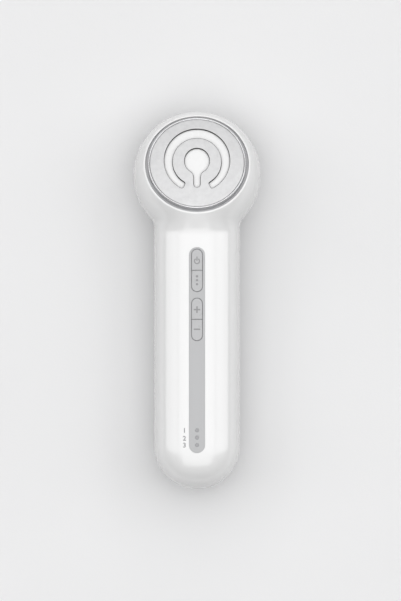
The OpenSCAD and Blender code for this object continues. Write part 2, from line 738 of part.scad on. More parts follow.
// Cubic through the ribbon's ends, leaving along the main board and entering square
ribbon_from = [board_hi_y - 2, board_z + plug_h / 2];
ribbon_to = face_point(plug_v, board_seat - plug_h - ribbon_t);
ribbon_out = [30, 0];
ribbon_in = face_point(plug_v, board_seat) - face_point(plug_v, board_seat - 28);
function ribbon_at(u) = [for (k = [0, 1])
    hermite(u, ribbon_from[k], ribbon_out[k], ribbon_to[k], ribbon_in[k])];
ribbon_n = 14;
module head_ribbon() color("darkkhaki") rotate([90, 0, 90]) translate([0, 0, -ribbon_w / 2])
    linear_extrude(ribbon_w) polygon([
        for (i = [0:ribbon_n]) ribbon_at(i / ribbon_n) + [0, ribbon_t / 2],
        for (i = [ribbon_n:-1:0]) ribbon_at(i / ribbon_n) - [0, ribbon_t / 2],
    ]);

module ribbon_connectors() color("beige") {
    block([10, 3.2, plug_h], [0, board_hi_y - 3.6, board_z]);
    on_face() block([9, 2.6, plug_h], [0, plug_v, board_seat - plug_h]);
}

// ================= Nodes =================

front_shell();
rear_shell();
control_strip();
power_button();
mode_button();
plus_button();
minus_button();
switch_stem(0);  // power_switch_stem
switch_stem(1);  // mode_switch_stem
switch_stem(2);  // plus_switch_stem
switch_stem(3);  // minus_switch_stem
switch_bases();
indicator_lenses();
indicator_leds();
main_board();
control_chips();
transformer_core();
transformer_winding();
battery_cell();
battery_tabs();
battery_leads();
inner_frame();
frame_screws();
charge_socket();
socket_tongue();
charge_board();
charge_leads();
applicator_cup();
cup_gasket();
rim_electrode();
electrode_plate();
light_window();
head_board();
treatment_leds();
electrode_contacts();
skin_thermistor();
head_screws();
ribbon_connectors();
head_ribbon();
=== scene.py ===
"""Looks of a hand-held facial toning device: a white glossy body with a tilted round
applicator, a grey control strip with four keys and three indicator lenses.

The device lies on its back on the floor, X to the side, +Y to the head and +Z up.
Meshes are worked out in millimetres and become Blender objects in metres.
"""

import math

import bmesh
import bpy
import numpy as np
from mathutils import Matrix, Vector
from mathutils.geometry import delaunay_2d_cdt


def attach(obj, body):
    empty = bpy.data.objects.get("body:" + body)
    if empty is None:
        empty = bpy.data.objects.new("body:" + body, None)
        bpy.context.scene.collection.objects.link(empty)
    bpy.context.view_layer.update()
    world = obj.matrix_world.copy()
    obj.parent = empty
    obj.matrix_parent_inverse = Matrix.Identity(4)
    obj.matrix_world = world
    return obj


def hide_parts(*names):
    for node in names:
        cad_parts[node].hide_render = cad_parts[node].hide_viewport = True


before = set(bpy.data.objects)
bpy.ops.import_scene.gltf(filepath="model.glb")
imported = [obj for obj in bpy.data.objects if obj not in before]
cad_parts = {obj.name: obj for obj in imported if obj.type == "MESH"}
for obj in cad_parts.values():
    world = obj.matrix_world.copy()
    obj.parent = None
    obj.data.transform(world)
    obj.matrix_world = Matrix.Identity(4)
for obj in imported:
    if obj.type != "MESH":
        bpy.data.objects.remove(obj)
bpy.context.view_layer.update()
MM = 0.001

# -------- sizes (mm), as in the CAD
LENGTH, HANDLE_W, HEAD_R = 190.0, 43.2, 32.0
FRONT_DEPTH, BACK_DEPTH, REST_DEPTH = 19.0, 19.4, 19.0
NECK_FILLET, WALL = 7.0, 2.0
HANDLE_SQUARE, HEAD_SQUARE, BEND = 2.4, 2.05, 0.8

FACE_TILT = math.radians(22)
FACE_RISE, LAND_W, COLLAR_H = 14.5, 0.8, 4.0
RIM_R, RIM_T, RIM_H, RIM_SEAT = 24.65, 0.95, 1.7, -3.0
RING_GAP, PLATE_GAP = 1.35, 0.25
PLATE_RISE, PLATE_T, WINDOW_RISE, WINDOW_GAP = 1.9, 1.15, 0.1, 0.2
RING_MARGIN, RING_W, RING_SHIFT = 6.8, 4.45, 0.9
RING_OPEN = math.radians(27)
KEYHOLE_R, STEM_W, STEM_REACH, KEYHOLE_FILLET = 6.45, 3.7, 13.2, 3.0
GASKET_TOP, SLIDE = -1.3, 0.1

STRIP_BORDER, STRIP_T, STRIP_BELOW_NECK, STRIP_PAST_TAIL = 1.1, 1.2, 4.4, 3.3
PAIR_L, PAIR_W, PAIR_GAP, PAIR_MARGIN = 21.7, 5.8, 2.9, 0.8
BUTTON_GAP, BUTTON_PROUD, DIVIDER = 0.25, 0.12, 0.3
FLANGE_MORE, FLANGE_T, FLANGE_GAP, HOLE_MORE = 0.7, 0.7, 0.2, 0.6
LENS_D, LENS_PITCH = 1.9, 3.7
BOARD_BELOW, SWITCH_H, STEM_RISE, POST_R = 9.0, 3.2, 1.4, 1.5
SOCKET_W, SOCKET_H = 8.94, 3.26

# places that follow from them
HW = HANDLE_W / 2
TIP_Y, TAIL_Y = LENGTH / 2, -LENGTH / 2
CAP_Y = TAIL_Y + HW
HEAD_Y = TIP_Y - HEAD_R
NECK_Y = HEAD_Y - HEAD_R
AXIS_Z = REST_DEPTH
FRONT_Z = AXIS_Z + FRONT_DEPTH
NECK_DROP = math.sqrt((HEAD_R + NECK_FILLET) ** 2 - (HW + NECK_FILLET) ** 2)
FILLET_Y = HEAD_Y - NECK_DROP
OPENING_R = RIM_R + RING_GAP
LAND_R = OPENING_R + LAND_W
SIN_T, COS_T = math.sin(FACE_TILT), math.cos(FACE_TILT)
LAND_Y = HEAD_Y + FACE_RISE * SIN_T
LAND_Z = FACE_RISE * COS_T
LAND_LO, LAND_HI = LAND_Y - LAND_R * COS_T, LAND_Y + LAND_R * COS_T
PLATE_R = RIM_R - RIM_T - PLATE_GAP
PLATE_EDGE = RIM_H - PLATE_GAP
DOME_TOP = PLATE_EDGE + PLATE_RISE
DOME_R = (PLATE_R**2 + PLATE_RISE**2) / (2 * PLATE_RISE)
RING_R = PLATE_R - RING_MARGIN
RING_INNER = RING_R - RING_W
CUP_WALL_R = RIM_R - RIM_T - SLIDE
WINDOW_R = CUP_WALL_R - 1.8
WINDOW_SEAT = PLATE_EDGE - PLATE_T - 1.2
STRIP_W = PAIR_W + 2 * STRIP_BORDER
STRIP_TOP, STRIP_END = NECK_Y - STRIP_BELOW_NECK, CAP_Y - STRIP_PAST_TAIL
STRIP_Z = FRONT_Z - STRIP_T
PAIR_Y = [STRIP_TOP - PAIR_MARGIN - PAIR_L / 2 - i * (PAIR_L + PAIR_GAP) for i in range(2)]
LENS_Y = [STRIP_END + STRIP_W / 2 + i * LENS_PITCH for i in (2, 1, 0)]
FLANGE_Z = STRIP_Z - FLANGE_GAP - FLANGE_T
STEM_Z = FRONT_Z - BOARD_BELOW + SWITCH_H + STEM_RISE

# of the meshes alone
FIT_LINE = 0.04  # width of the line where two fixed pieces meet
JOIN = 2e-4  # points of one mesh that are this close are one point
TINY = 1e-6
SHARP = math.radians(35)  # edges that turn by more stay sharp
EDGE_CLEAR = 0.45  # grid points keep this share of their spacing away from an outline


# -------- outer form of the housing
def ease(v):
    c = min(1.0, max(0.0, v))
    return c * c * (3 - 2 * c)


def smooth_max(a, b):
    """Larger of two heights, with the corner between them rounded off."""
    return max(a, b) + max(0.0, BEND - abs(a - b)) ** 2 / (4 * BEND)


def root(v):
    return math.sqrt(max(0.0, v))


def square_at(y):
    """Exponent of the section's superellipse."""
    return HANDLE_SQUARE + (HEAD_SQUARE - HANDLE_SQUARE) * ease((y - NECK_Y) / (LAND_LO - NECK_Y))


def half_w(y, t=0.0):
    """Half of the width at y for a skin inset by t."""
    join = HEAD_Y - (HEAD_R - t) * NECK_DROP / (HEAD_R + NECK_FILLET)
    if y >= join:
        return root((HEAD_R - t) ** 2 - (y - HEAD_Y) ** 2)
    if y > FILLET_Y:
        return HW + NECK_FILLET - root((NECK_FILLET + t) ** 2 - (y - FILLET_Y) ** 2)
    if y > CAP_Y:
        return HW - t
    return root((HW - t) ** 2 - (CAP_Y - y) ** 2)


def land_front(y):
    """Height of the front over the head, where each section passes through the land's circle."""
    s = (y - LAND_Y) / COS_T
    n = square_at(y)
    z = LAND_Z - s * SIN_T
    return z / (1 - (root(LAND_R**2 - s * s) / half_w(y)) ** n) ** (1 / n)


STEP = 0.05  # run over which a slope is measured
LO_F, HI_F = land_front(LAND_LO), land_front(LAND_HI)
LO_SLOPE = (land_front(LAND_LO + STEP) - LO_F) / STEP
HI_SLOPE = (land_front(LAND_HI - STEP) - HI_F) / STEP
TIP_REACH = TIP_Y - LAND_HI
TIP_C = (2 * HI_F * HI_SLOPE * TIP_REACH - HI_F**2) / TIP_REACH**2
TIP_B = 2 * HI_F * HI_SLOPE - 2 * TIP_C * TIP_REACH


def front_depth(y):
    """Height of the front over the parting plane."""
    if y >= LAND_HI:
        return root(TIP_B * (TIP_Y - y) + TIP_C * (TIP_Y - y) ** 2)
    if y > LAND_LO:
        return land_front(y)
    if y > CAP_Y:
        return smooth_max(FRONT_DEPTH, LO_F + (y - LAND_LO) * LO_SLOPE)
    return FRONT_DEPTH * tail_share(y)


def back_depth(y):
    if y > HEAD_Y:
        return BACK_DEPTH * root(1 - ((y - HEAD_Y) / HEAD_R) ** 2)
    return BACK_DEPTH * tail_share(y)


def tail_share(y):
    """How much of the full depth is left in the round tail."""
    return 1.0 if y > CAP_Y else root(1 - ((CAP_Y - y) / HW) ** 2)


def skin_point(y, t, angle, depth=front_depth):
    """Point of a section, at an angle up from the parting plane; t insets the skin."""
    p = 2 / square_at(y)
    w = half_w(y, t)
    f = depth(y) * w / half_w(y)
    return (w * max(0.0, math.cos(angle)) ** p, y, AXIS_Z + f * math.sin(angle) ** p)


def skin_z(x, y, t=0.0):
    """Height of the front skin at x, y."""
    n = square_at(y)
    w = half_w(y, t)
    f = front_depth(y) * w / half_w(y)
    return AXIS_Z + f * max(0.0, 1 - min(1.0, abs(x) / w) ** n) ** (1 / n)


def face_point(u, v, w):
    """Row-frame point for a place on the applicator: u is X, v runs up the tilted face."""
    return (u, LAND_Y + v * COS_T + w * SIN_T, AXIS_Z + LAND_Z - v * SIN_T + w * COS_T)


def plane_z(y, w):
    """Height above the parting plane of the plane that lies w over the applicator's land."""
    return LAND_Z + (w - (y - LAND_Y) * SIN_T) / COS_T


# -------- mesh building
class Form:
    """A mesh that grows by rows and filled outlines. Equal points are joined at the end."""

    def __init__(self):
        self.points = []
        self.faces = []

    def add(self, points):
        start = len(self.points)
        self.points.extend(points)
        return list(range(start, len(self.points)))

    def rows(self, rows, closed=False):
        """Quads between rows of as many points each."""
        ids = [self.add(r) for r in rows]
        for a, b in zip(ids, ids[1:]):
            pairs = list(zip(a, b))
            if closed:
                pairs.append(pairs[0])
            for (a0, b0), (a1, b1) in zip(pairs, pairs[1:]):
                self.faces.append((a0, a1, b1, b0))

    def fan(self, centre, row):
        """Triangles from a point to a row."""
        c = self.add([centre])[0]
        ids = self.add(row)
        self.faces.extend((c, a, b) for a, b in zip(ids, ids[1:]))

    def fill(self, loops, height, spacing=None):
        """Triangles inside the first loop and outside the others, lifted to height(x, y)."""
        flat, edges = [], []
        for loop in loops:
            start = len(flat)
            flat.extend(loop)
            edges.extend((start + i, start + (i + 1) % len(loop)) for i in range(len(loop)))
        if spacing:
            flat = flat + inner_points(loops, spacing)
        vectors = [Vector(p) for p in flat]
        points, _, faces, _, _, _ = delaunay_2d_cdt(vectors, edges, [], 1, TINY)
        middles = np.array([sum((points[i] for i in f), Vector((0, 0))) / 3 for f in faces])
        keep = inside(middles, loops[0])
        for loop in loops[1:]:
            keep &= ~inside(middles, loop)
        ids = self.add([(p.x, p.y, height(p.x, p.y)) for p in points])
        self.faces.extend(tuple(ids[i] for i in f) for f, kept in zip(faces, keep) if kept)

    def panel(self, loops, top, base, r, spacing, steps=4):
        """Slab with rounded upper edges round each loop. The material is on a loop's left."""
        tops = [self.edge(loop, top, base, r, steps) for loop in loops]
        self.fill(tops, top, spacing)
        self.fill(loops, base)

    def edge(self, loop, top, base, r, steps=4):
        """Wall up from the base, and its rounded upper edge. Returns the loop where the top starts."""
        rows = [[(x, y, base(x, y)) for x, y in loop]]
        for k in range(steps + 1):
            a = math.pi / 2 * k / steps
            moved = offset(loop, r * (1 - math.cos(a)))
            drop = r * (1 - math.sin(a))
            rows.append([(x, y, top(x, y) - drop) for x, y in moved])
        self.rows(rows, closed=True)
        return moved

    def wall(self, loop, low, high):
        """Upright wall along a loop, between two heights."""
        self.rows([[(x, y, h(x, y)) for x, y in loop] for h in (low, high)], closed=True)

    def moved(self, change):
        self.points = [change(*p) for p in self.points]
        return self

    def join(self, other):
        start = len(self.points)
        self.points.extend(other.points)
        self.faces.extend(tuple(start + i for i in f) for f in other.faces)

    def mirrored(self):
        """Adds the same faces at -x."""
        start = len(self.points)
        self.points.extend([(-x, y, z) for x, y, z in self.points])
        self.faces.extend([tuple(start + i for i in reversed(f)) for f in self.faces])

    def piece(self, name, material, body, nodes, slot, join=JOIN):
        """The finished object: it rides on the body and replaces the CAD nodes."""
        mesh = bpy.data.meshes.new(name)
        bm = bmesh.new()
        verts = [bm.verts.new(p) for p in self.points]
        for f in self.faces:
            if len(set(f)) > 2:
                bm.faces.new([verts[i] for i in f])
        bmesh.ops.remove_doubles(bm, verts=bm.verts, dist=join)
        bmesh.ops.dissolve_degenerate(bm, edges=bm.edges, dist=join)
        bmesh.ops.recalc_face_normals(bm, faces=bm.faces)
        for v in bm.verts:
            v.co *= MM
        bm.to_mesh(mesh)
        bm.free()
        obj = bpy.data.objects.new(name, mesh)
        bpy.context.scene.collection.objects.link(obj)
        mesh.materials.append(material)
        for poly in mesh.polygons:
            poly.use_smooth = True
        mesh.set_sharp_from_angle(angle=SHARP)
        smooth = obj.modifiers.new("even normals", "WEIGHTED_NORMAL")
        smooth.keep_sharp = True
        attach(obj, body)
        if nodes:
            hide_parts(*nodes)


def inside(points, loop):
    """Which of the points lie inside a loop, by the even-odd rule."""
    x, y = points[:, 0], points[:, 1]
    odd = np.zeros(len(points), bool)
    for (x0, y0), (x1, y1) in zip(loop, loop[1:] + loop[:1]):
        crosses = (y0 > y) != (y1 > y)
        run = (y1 - y0) or 1e-12
        odd ^= crosses & (x < (x1 - x0) * (y - y0) / run + x0)
    return odd


def inner_points(loops, spacing):
    """Points of a triangle grid inside the outline and clear of its edges."""
    outer = np.array(loops[0])
    lo, hi = outer.min(0), outer.max(0)
    row_gap = spacing * math.sqrt(3) / 2
    grid = [
        (x + (spacing / 2 if j % 2 else 0), lo[1] + row_gap * j)
        for j in range(int((hi[1] - lo[1]) / row_gap) + 2)
        for x in np.arange(lo[0], hi[0], spacing)
    ]
    grid = np.array(grid)
    keep = inside(grid, loops[0])
    for loop in loops[1:]:
        keep &= ~inside(grid, loop)
    grid = grid[keep]
    for loop in loops:
        ring = np.array(loop)
        ends = np.roll(ring, -1, axis=0)
        for a, b in zip(ring, ends):
            along = b - a
            share = np.clip(((grid - a) @ along) / max(along @ along, 1e-12), 0, 1)
            away = np.linalg.norm(grid - a - share[:, None] * along, axis=1)
            grid = grid[away > EDGE_CLEAR * spacing]
    return [(float(x), float(y)) for x, y in grid]


def offset(loop, d):
    """The loop moved by d to its left."""
    if not d:
        return list(loop)
    p = np.array(loop)

    def left_of(e):
        return np.stack([-e[:, 1], e[:, 0]], 1) / np.linalg.norm(e, axis=1)[:, None]

    before, after = left_of(p - np.roll(p, 1, 0)), left_of(np.roll(p, -1, 0) - p)
    mitre = (before + after) / (1 + (before * after).sum(1))[:, None]
    return [(float(x), float(y)) for x, y in p + mitre * d]


def arc(cx, cy, r, a0, a1, n):
    """Points of an arc from angle a0 to a1 (degrees), both ends in."""
    angles = [math.radians(a0 + (a1 - a0) * i / n) for i in range(n + 1)]
    return [(cx + r * math.cos(a), cy + r * math.sin(a)) for a in angles]


def line(a, b, n):
    """Points between a and b, without either end."""
    return [(a[0] + (b[0] - a[0]) * i / n, a[1] + (b[1] - a[1]) * i / n) for i in range(1, n)]


def circle(cx, cy, r, n):
    return arc(cx, cy, r, 0, 360, n)[:-1]


def stadium(w, l, y, n, m):
    """Slot outline, long in Y, with m stretches to each straight side."""
    reach = (l - w) / 2
    top, low = arc(0, y + reach, w / 2, 0, 180, n), arc(0, y - reach, w / 2, 180, 360, n)
    return top + line(top[-1], low[0], m) + low + line(low[-1], top[0], m)


def hole(loop):
    """The outline as a hole: the material is then on its left."""
    return list(reversed(loop))


def level(z):
    """The height z everywhere."""
    return lambda x, y: z


def revolve(profile, turns=256):
    """Form of a closed profile (r, w) turned round the applicator's axis."""
    form = Form()
    angles = np.linspace(0, 2 * math.pi, turns, endpoint=False)
    rows = [[(r * math.cos(a), r * math.sin(a), w) for a in angles] for r, w in profile + profile[:1]]
    form.rows(rows, closed=True)
    return form.moved(face_point)


# -------- materials
NOISE_SPAN = (0.3, 0.7)  # a noise's values lie mostly between these
TONE, POLISH, WAVE = 45, 160, 70  # scales of the noises that all mouldings share
COAT_ROUGHNESS, METAL_VARY = 0.16, 0.05


class Material:
    """A node material: a Principled shader and short calls that build what feeds it."""

    def __init__(self, name, **inputs):
        self.data = bpy.data.materials.new(name)
        self.data.use_nodes = True
        self.tree = self.data.node_tree
        self.shader = self.tree.nodes["Principled BSDF"]
        for key, value in inputs.items():
            self.shader.inputs[key.replace("_", " ")].default_value = value
        self.place = self.node("ShaderNodeTexCoord").outputs["Object"]

    def node(self, kind, **settings):
        node = self.tree.nodes.new(kind)
        for key, value in settings.items():
            setattr(node, key, value)
        return node

    def link(self, a, b):
        self.tree.links.new(a, b)

    def noise(self, scale, detail=2.0, roughness=0.5, stretch=None):
        node = self.node("ShaderNodeTexNoise")
        node.inputs["Scale"].default_value = scale
        node.inputs["Detail"].default_value = detail
        node.inputs["Roughness"].default_value = roughness
        place = self.place
        if stretch:
            mapping = self.node("ShaderNodeMapping")
            mapping.inputs["Scale"].default_value = stretch
            self.link(self.place, mapping.inputs["Vector"])
            place = mapping.outputs["Vector"]
        self.link(place, node.inputs["Vector"])
        return node.outputs["Fac"]

    def ramp(self, value, low, high):
        """Colour ramp between two grey or RGB values, over the middle of a noise."""
        node = self.node("ShaderNodeValToRGB")
        ends = node.color_ramp.elements
        for end, place, colour in zip(ends, NOISE_SPAN, (low, high)):
            end.position = place
            end.color = (*rgb(colour), 1)
        self.link(value, node.inputs["Fac"])
        return node.outputs["Color"]

    def colour(self, value, low, high):
        self.link(self.ramp(value, low, high), self.shader.inputs["Base Color"])

    def rough(self, value, low, high):
        """Roughness from low to high, over the middle of a noise."""
        node = self.node("ShaderNodeMapRange")
        for key, number in zip(("From Min", "From Max", "To Min", "To Max"), (*NOISE_SPAN, low, high)):
            node.inputs[key].default_value = number
        self.link(value, node.inputs["Value"])
        self.link(node.outputs["Result"], self.shader.inputs["Roughness"])

    def bump(self, *layers):
        """Stacked bumps, each (height, depth in metres)."""
        normal = None
        for height, depth in layers:
            node = self.node("ShaderNodeBump")
            node.inputs["Strength"].default_value = 1.0
            node.inputs["Distance"].default_value = depth
            self.link(height, node.inputs["Height"])
            if normal:
                self.link(normal, node.inputs["Normal"])
            normal = node.outputs["Normal"]
        self.link(normal, self.shader.inputs["Normal"])


def rgb(colour):
    return colour if isinstance(colour, tuple) else (colour,) * 3


def shades(colour, vary):
    """A colour made darker and lighter by a share of itself."""
    return [tuple(c * share for c in rgb(colour)) for share in (1 - vary, 1 + vary)]


def moulded(name, colour, vary, roughness, grain_scale, grain, coat=0.0, wave=0.0):
    """Moulded plastic: faint tone changes, uneven polish, and the tool's grain."""
    m = Material(name, Coat_Weight=coat, Coat_Roughness=COAT_ROUGHNESS)
    m.colour(m.noise(TONE, 3), *shades(colour, vary))
    m.rough(m.noise(POLISH, 4, 0.6), roughness * 0.8, roughness * 1.25)
    layers = [(m.noise(grain_scale, 3), grain)]
    if wave:
        layers.append((m.noise(WAVE, 1), wave))
    m.bump(*layers)
    return m.data


def metal(name, colour, roughness, scale, grain, stretch=None, metallic=1.0):
    """Metal or plating: mottled in colour and polish, or brushed along one way by a stretch."""
    m = Material(name, Metallic=metallic)
    mottle = m.noise(scale, 4, 0.65, stretch)
    m.colour(mottle, *shades(colour, METAL_VARY))
    m.rough(m.noise(scale * 0.6, 3, 0.6, stretch), roughness * 0.85, roughness * 1.2)
    m.bump((mottle, grain))
    return m.data


HOUSING = moulded("gloss white housing", 0.86, 0.006, 0.16, 2600, 1.5e-6, coat=1.0, wave=2e-6)
STRIP = moulded("satin grey strip", (0.49, 0.492, 0.5), 0.01, 0.34, 3200, 6e-6)
KEYS = moulded("satin grey keys", (0.5, 0.502, 0.51), 0.01, 0.3, 3200, 5e-6)
SYMBOLS = moulded("printed symbols", (0.29, 0.29, 0.295), 0.03, 0.45, 5000, 3e-6)
NUMERALS = moulded("printed numerals", (0.3, 0.3, 0.31), 0.03, 0.45, 5000, 3e-6)
LENSES = moulded("smoked light pipes", (0.34, 0.34, 0.35), 0.02, 0.22, 2400, 2e-6, coat=0.5)
# painted shade: a near-black lining darkens the walls of the plate's windows, where they lie in shadow
PAINTED_SHADE = moulded("dark lining of painted shade", 0.03, 0.1, 0.5, 3000, 5e-6)
GASKET = moulded("silicone gasket", (0.52, 0.52, 0.53), 0.03, 0.55, 3000, 8e-6)
WINDOW = moulded("frosted window", 0.85, 0.004, 0.3, 3600, 4e-6, coat=0.3)
CUP = moulded("moulded cup", 0.8, 0.01, 0.4, 2500, 4e-6)
SWITCH = moulded("switch housing", 0.03, 0.1, 0.45, 2400, 8e-6)
STEM = moulded("switch stem", (0.1, 0.1, 0.11), 0.06, 0.4, 2600, 6e-6)
LED = moulded("diode resin", (0.85, 0.8, 0.55), 0.03, 0.2, 1800, 3e-6, coat=0.5)
BOARD = moulded("green solder mask", (0.02, 0.14, 0.06), 0.12, 0.3, 900, 1.2e-5, coat=0.4, wave=8e-6)
WHITE_BOARD = moulded("white solder mask", (0.8, 0.8, 0.78), 0.02, 0.3, 900, 1.2e-5, coat=0.3)
CHIP = moulded("epoxy package", 0.022, 0.15, 0.5, 3200, 9e-6)
FERRITE = moulded("sintered ferrite", (0.06, 0.06, 0.065), 0.12, 0.6, 4200, 1.6e-5)
CELL = moulded("shrink sleeve", (0.05, 0.22, 0.42), 0.03, 0.25, 600, 1e-5, coat=0.4, wave=1.2e-5)
LEAD = moulded("silicone wire", (0.45, 0.03, 0.03), 0.05, 0.5, 3000, 1e-5)
CHASSIS = moulded("moulded chassis", (0.45, 0.45, 0.46), 0.02, 0.42, 2600, 7e-6)
TONGUE = moulded("socket tongue", 0.022, 0.1, 0.4, 2800, 5e-6)
RIBBON = moulded("flexible circuit", (0.5, 0.28, 0.06), 0.05, 0.28, 700, 9e-6, coat=0.4)
CONNECTOR = moulded("moulded connector", (0.72, 0.68, 0.56), 0.02, 0.42, 2600, 6e-6)
RIM = metal("polished rim", (0.7, 0.7, 0.71), 0.2, 500, 2e-6)
PLATE = metal("satin plated electrode", (0.665, 0.665, 0.67), 0.42, 420, 5e-6, metallic=0.8)
WINDING = metal("enamelled copper", (0.7, 0.33, 0.12), 0.3, 1200, 2.5e-5, (1, 14, 1))
NICKEL = metal("nickel strip", (0.62, 0.6, 0.56), 0.35, 700, 6e-6, (1, 9, 1))
SCREW = metal("zinc plated steel", 0.6, 0.32, 1500, 6e-6)
SOCKET = metal("formed stainless shell", (0.62, 0.62, 0.63), 0.26, 900, 5e-6, (1, 8, 1))
CONTACT = metal("gold plating", (0.8, 0.58, 0.22), 0.22, 1200, 4e-6)

# Inner pieces, which keep their shape from the frame
INNER = {
    SWITCH: ["switch_bases"],
    STEM: [k + "_switch_stem" for k in ("power", "mode", "plus", "minus")],
    LED: ["indicator_leds", "treatment_leds"],
    BOARD: ["main_board", "charge_board"],
    WHITE_BOARD: ["head_board"],
    CHIP: ["control_chips", "skin_thermistor"],
    FERRITE: ["transformer_core"],
    WINDING: ["transformer_winding"],
    CELL: ["battery_cell"],
    NICKEL: ["battery_tabs"],
    LEAD: ["battery_leads", "charge_leads"],
    CHASSIS: ["inner_frame"],
    SCREW: ["frame_screws", "head_screws"],
    SOCKET: ["charge_socket"],
    TONGUE: ["socket_tongue"],
    CUP: ["applicator_cup"],
    CONTACT: ["electrode_contacts"],
    RIBBON: ["head_ribbon"],
    CONNECTOR: ["ribbon_connectors"],
}


def finish_inner_pieces():
    for material, names in INNER.items():
        for name in names:
            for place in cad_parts[name].material_slots:
                place.material = material


# -------- shells
TAIL_N, HANDLE_N, NECK_N, LAND_N, TIP_N = 30, 52, 18, 120, 12
TAIL_FIRST = 8  # station of the round tail where the rows start, past the patch round the slot
EDGE_COLS, MID_COLS = 30, 6
INNER_EDGE_COLS, INNER_MID_COLS = 12, 4
REAR_COLS, REAR_NECK_N, REAR_HEAD_N = 36, 40, 60
EDGE_FAR = math.radians(77)  # angle of the edge column away from the head
SEAM = 0.15  # chamfer along the parting line
PATCH_LOW = STRIP_END - 3  # lower end of the patch round the strip's pocket
LAND_EDGE = -0.2  # where the skin's edge lies, from the land
SKIN_GRID, INNER_GRID = 1.3, 2.0  # spacing of the points in the patches
LENS_HOLE_MORE = 1.0


def crossings(t, w):
    """Where the inset skin's middle line passes through the plane w over the land."""

    def over(y):
        return front_depth(y) * half_w(y, t) / half_w(y) - plane_z(y, w)

    ends = []
    for far in (NECK_Y, TIP_Y - t - TINY):
        near = LAND_Y
        for _ in range(60):  # halvings, down to rounding
            mid = (near + far) / 2
            near, far = (mid, far) if over(mid) > 0 else (near, mid)
        ends.append(near)
    return ends


def meets_plane(y, t, w):
    """Angle at which the inset section at y passes through that plane."""
    n = square_at(y)
    width = half_w(y, t)
    f = front_depth(y) * width / half_w(y)
    share = min(1.0, max(0.0, plane_z(y, w) / f))
    return math.asin(share ** (n / 2))


def handle_stations(t):
    """Places along Y of the rows over the tail and over the handle."""
    tail = [CAP_Y - (HW - t) * math.cos(math.pi / 2 * i / TAIL_N) for i in range(TAIL_FIRST, TAIL_N)]
    return tail, [CAP_Y + (NECK_Y - CAP_Y) * i / HANDLE_N for i in range(HANDLE_N)]


def with_seam(row, side):
    """The row with its start drawn in, so that a fine groove follows the parting line."""
    (x, y, z), above = row[0], row[1][2]
    lift = min(SEAM, side * (above - z) / 2)
    start = (half_w(y, SEAM), y, z)
    if y > HEAD_Y:
        share = 1 - SEAM / HEAD_R
        start = (x * share, HEAD_Y + (y - HEAD_Y) * share, z)
    return [start, (x, y, z + side * lift)] + row[1:]


def close_tip(form, rows, t):
    """Fan from the last row to the tip, which the groove goes round. Returns its two points."""
    if t:
        tip = (0, TIP_Y - t, AXIS_Z)
        form.fan(tip, rows[-1])
        return tip, tip
    low, tip = (0, TIP_Y - SEAM, AXIS_Z), (0, TIP_Y, rows[-1][1][2])
    form.rows([rows[-1][:2], [low, tip]])
    form.fan(tip, rows[-1][1:])
    return low, tip


class FrontSkin:
    """Rows of points over the front, from the parting plane up to the applicator's edge."""

    def __init__(self, t, w, edge_cols, mid_cols):
        self.t, self.w, self.edge_cols, self.mid_cols = t, w, edge_cols, mid_cols
        self.lo, self.hi = crossings(t, w)
        tail, handle = handle_stations(t)
        neck = [NECK_Y + (self.lo - NECK_Y) * i / NECK_N for i in range(NECK_N)]
        half = (self.hi - self.lo) / 2
        land = [self.lo + half * (1 - math.cos(math.pi * i / LAND_N)) for i in range(LAND_N + 1)]
        last = TIP_Y - t
        tip = [self.hi + (last - self.hi) * math.sin(math.pi / 2 * i / TIP_N) for i in range(1, TIP_N)]
        self.below = tail + handle + neck + [self.lo]
        self.land, self.above = land, [self.hi] + tip
        self.stations = tail + handle + neck + land + tip

    def edge_angle(self, y):
        """Angle of the column that the applicator's edge follows over the head."""
        if y <= self.lo:
            return EDGE_FAR + (math.pi / 2 - EDGE_FAR) * ease((y - NECK_Y) / (self.lo - NECK_Y))
        if y >= self.hi:
            return EDGE_FAR + (math.pi / 2 - EDGE_FAR) * (TIP_Y - y) / (TIP_Y - self.hi)
        return meets_plane(y, self.t, self.w)

    def outer_row(self, y):
        edge = self.edge_angle(y)
        row = [skin_point(y, self.t, edge * i / self.edge_cols) for i in range(self.edge_cols + 1)]
        return row if self.t else with_seam(row, 1)

    def middle_row(self, y):
        edge = self.edge_angle(y)
        n = self.mid_cols
        return [skin_point(y, self.t, edge + (math.pi / 2 - edge) * i / n) for i in range(n + 1)]

    def edge_place(self, y):
        """Place of the edge in the applicator's frame, as its angle from -v."""
        x, _, _ = skin_point(y, self.t, self.edge_angle(y))
        v = (y - LAND_Y - self.w * SIN_T) / COS_T
        return math.atan2(x, -v)


def ring_point(angle, r, w):
    return face_point(r * math.sin(angle), -r * math.cos(angle), w)


def lay_skin(form, skin):
    """Adds half of a skin without the patch round the strip, and keeps the edges it leaves."""
    rows = [skin.outer_row(y) for y in skin.stations]
    form.rows(rows)
    low_tip, tip = close_tip(form, rows, skin.t)
    middle = [skin.middle_row(y) for y in skin.below]
    low = next(i for i, y in enumerate(skin.below) if y > PATCH_LOW)
    high = next(i for i, y in enumerate(skin.below) if y > NECK_Y - TINY)
    form.rows(middle[: low + 1])
    form.rows(middle[high:])
    above = [skin.middle_row(y) for y in skin.above]
    form.rows(above)
    form.fan(tip, above[-1])
    skin.patch = patch_outline(middle[low : high + 1])
    skin.first_row = rows[0] + middle[0][1:]
    skin.parting = [r[0] for r in rows[1:]] + [low_tip]


def land_and_collar(form, outer, inner):
    """Rings from the outer skin's edge over the land, round its edges and down the collar."""
    angles = [outer.edge_place(y) for y in outer.land]
    rings = [
        (LAND_R - 0.1, -0.05), (LAND_R - 0.28, 0.0), (OPENING_R + 0.2, 0.0),
        (OPENING_R + 0.06, -0.06), (OPENING_R, -0.2), (OPENING_R, -COLLAR_H),
    ]
    rows = [[ring_point(a, r, w) for a in angles] for r, w in rings]
    outer_edge, inner_edge = [[skin.outer_row(y)[-1] for y in skin.land] for skin in (outer, inner)]
    form.rows([outer_edge] + rows + [inner_edge])


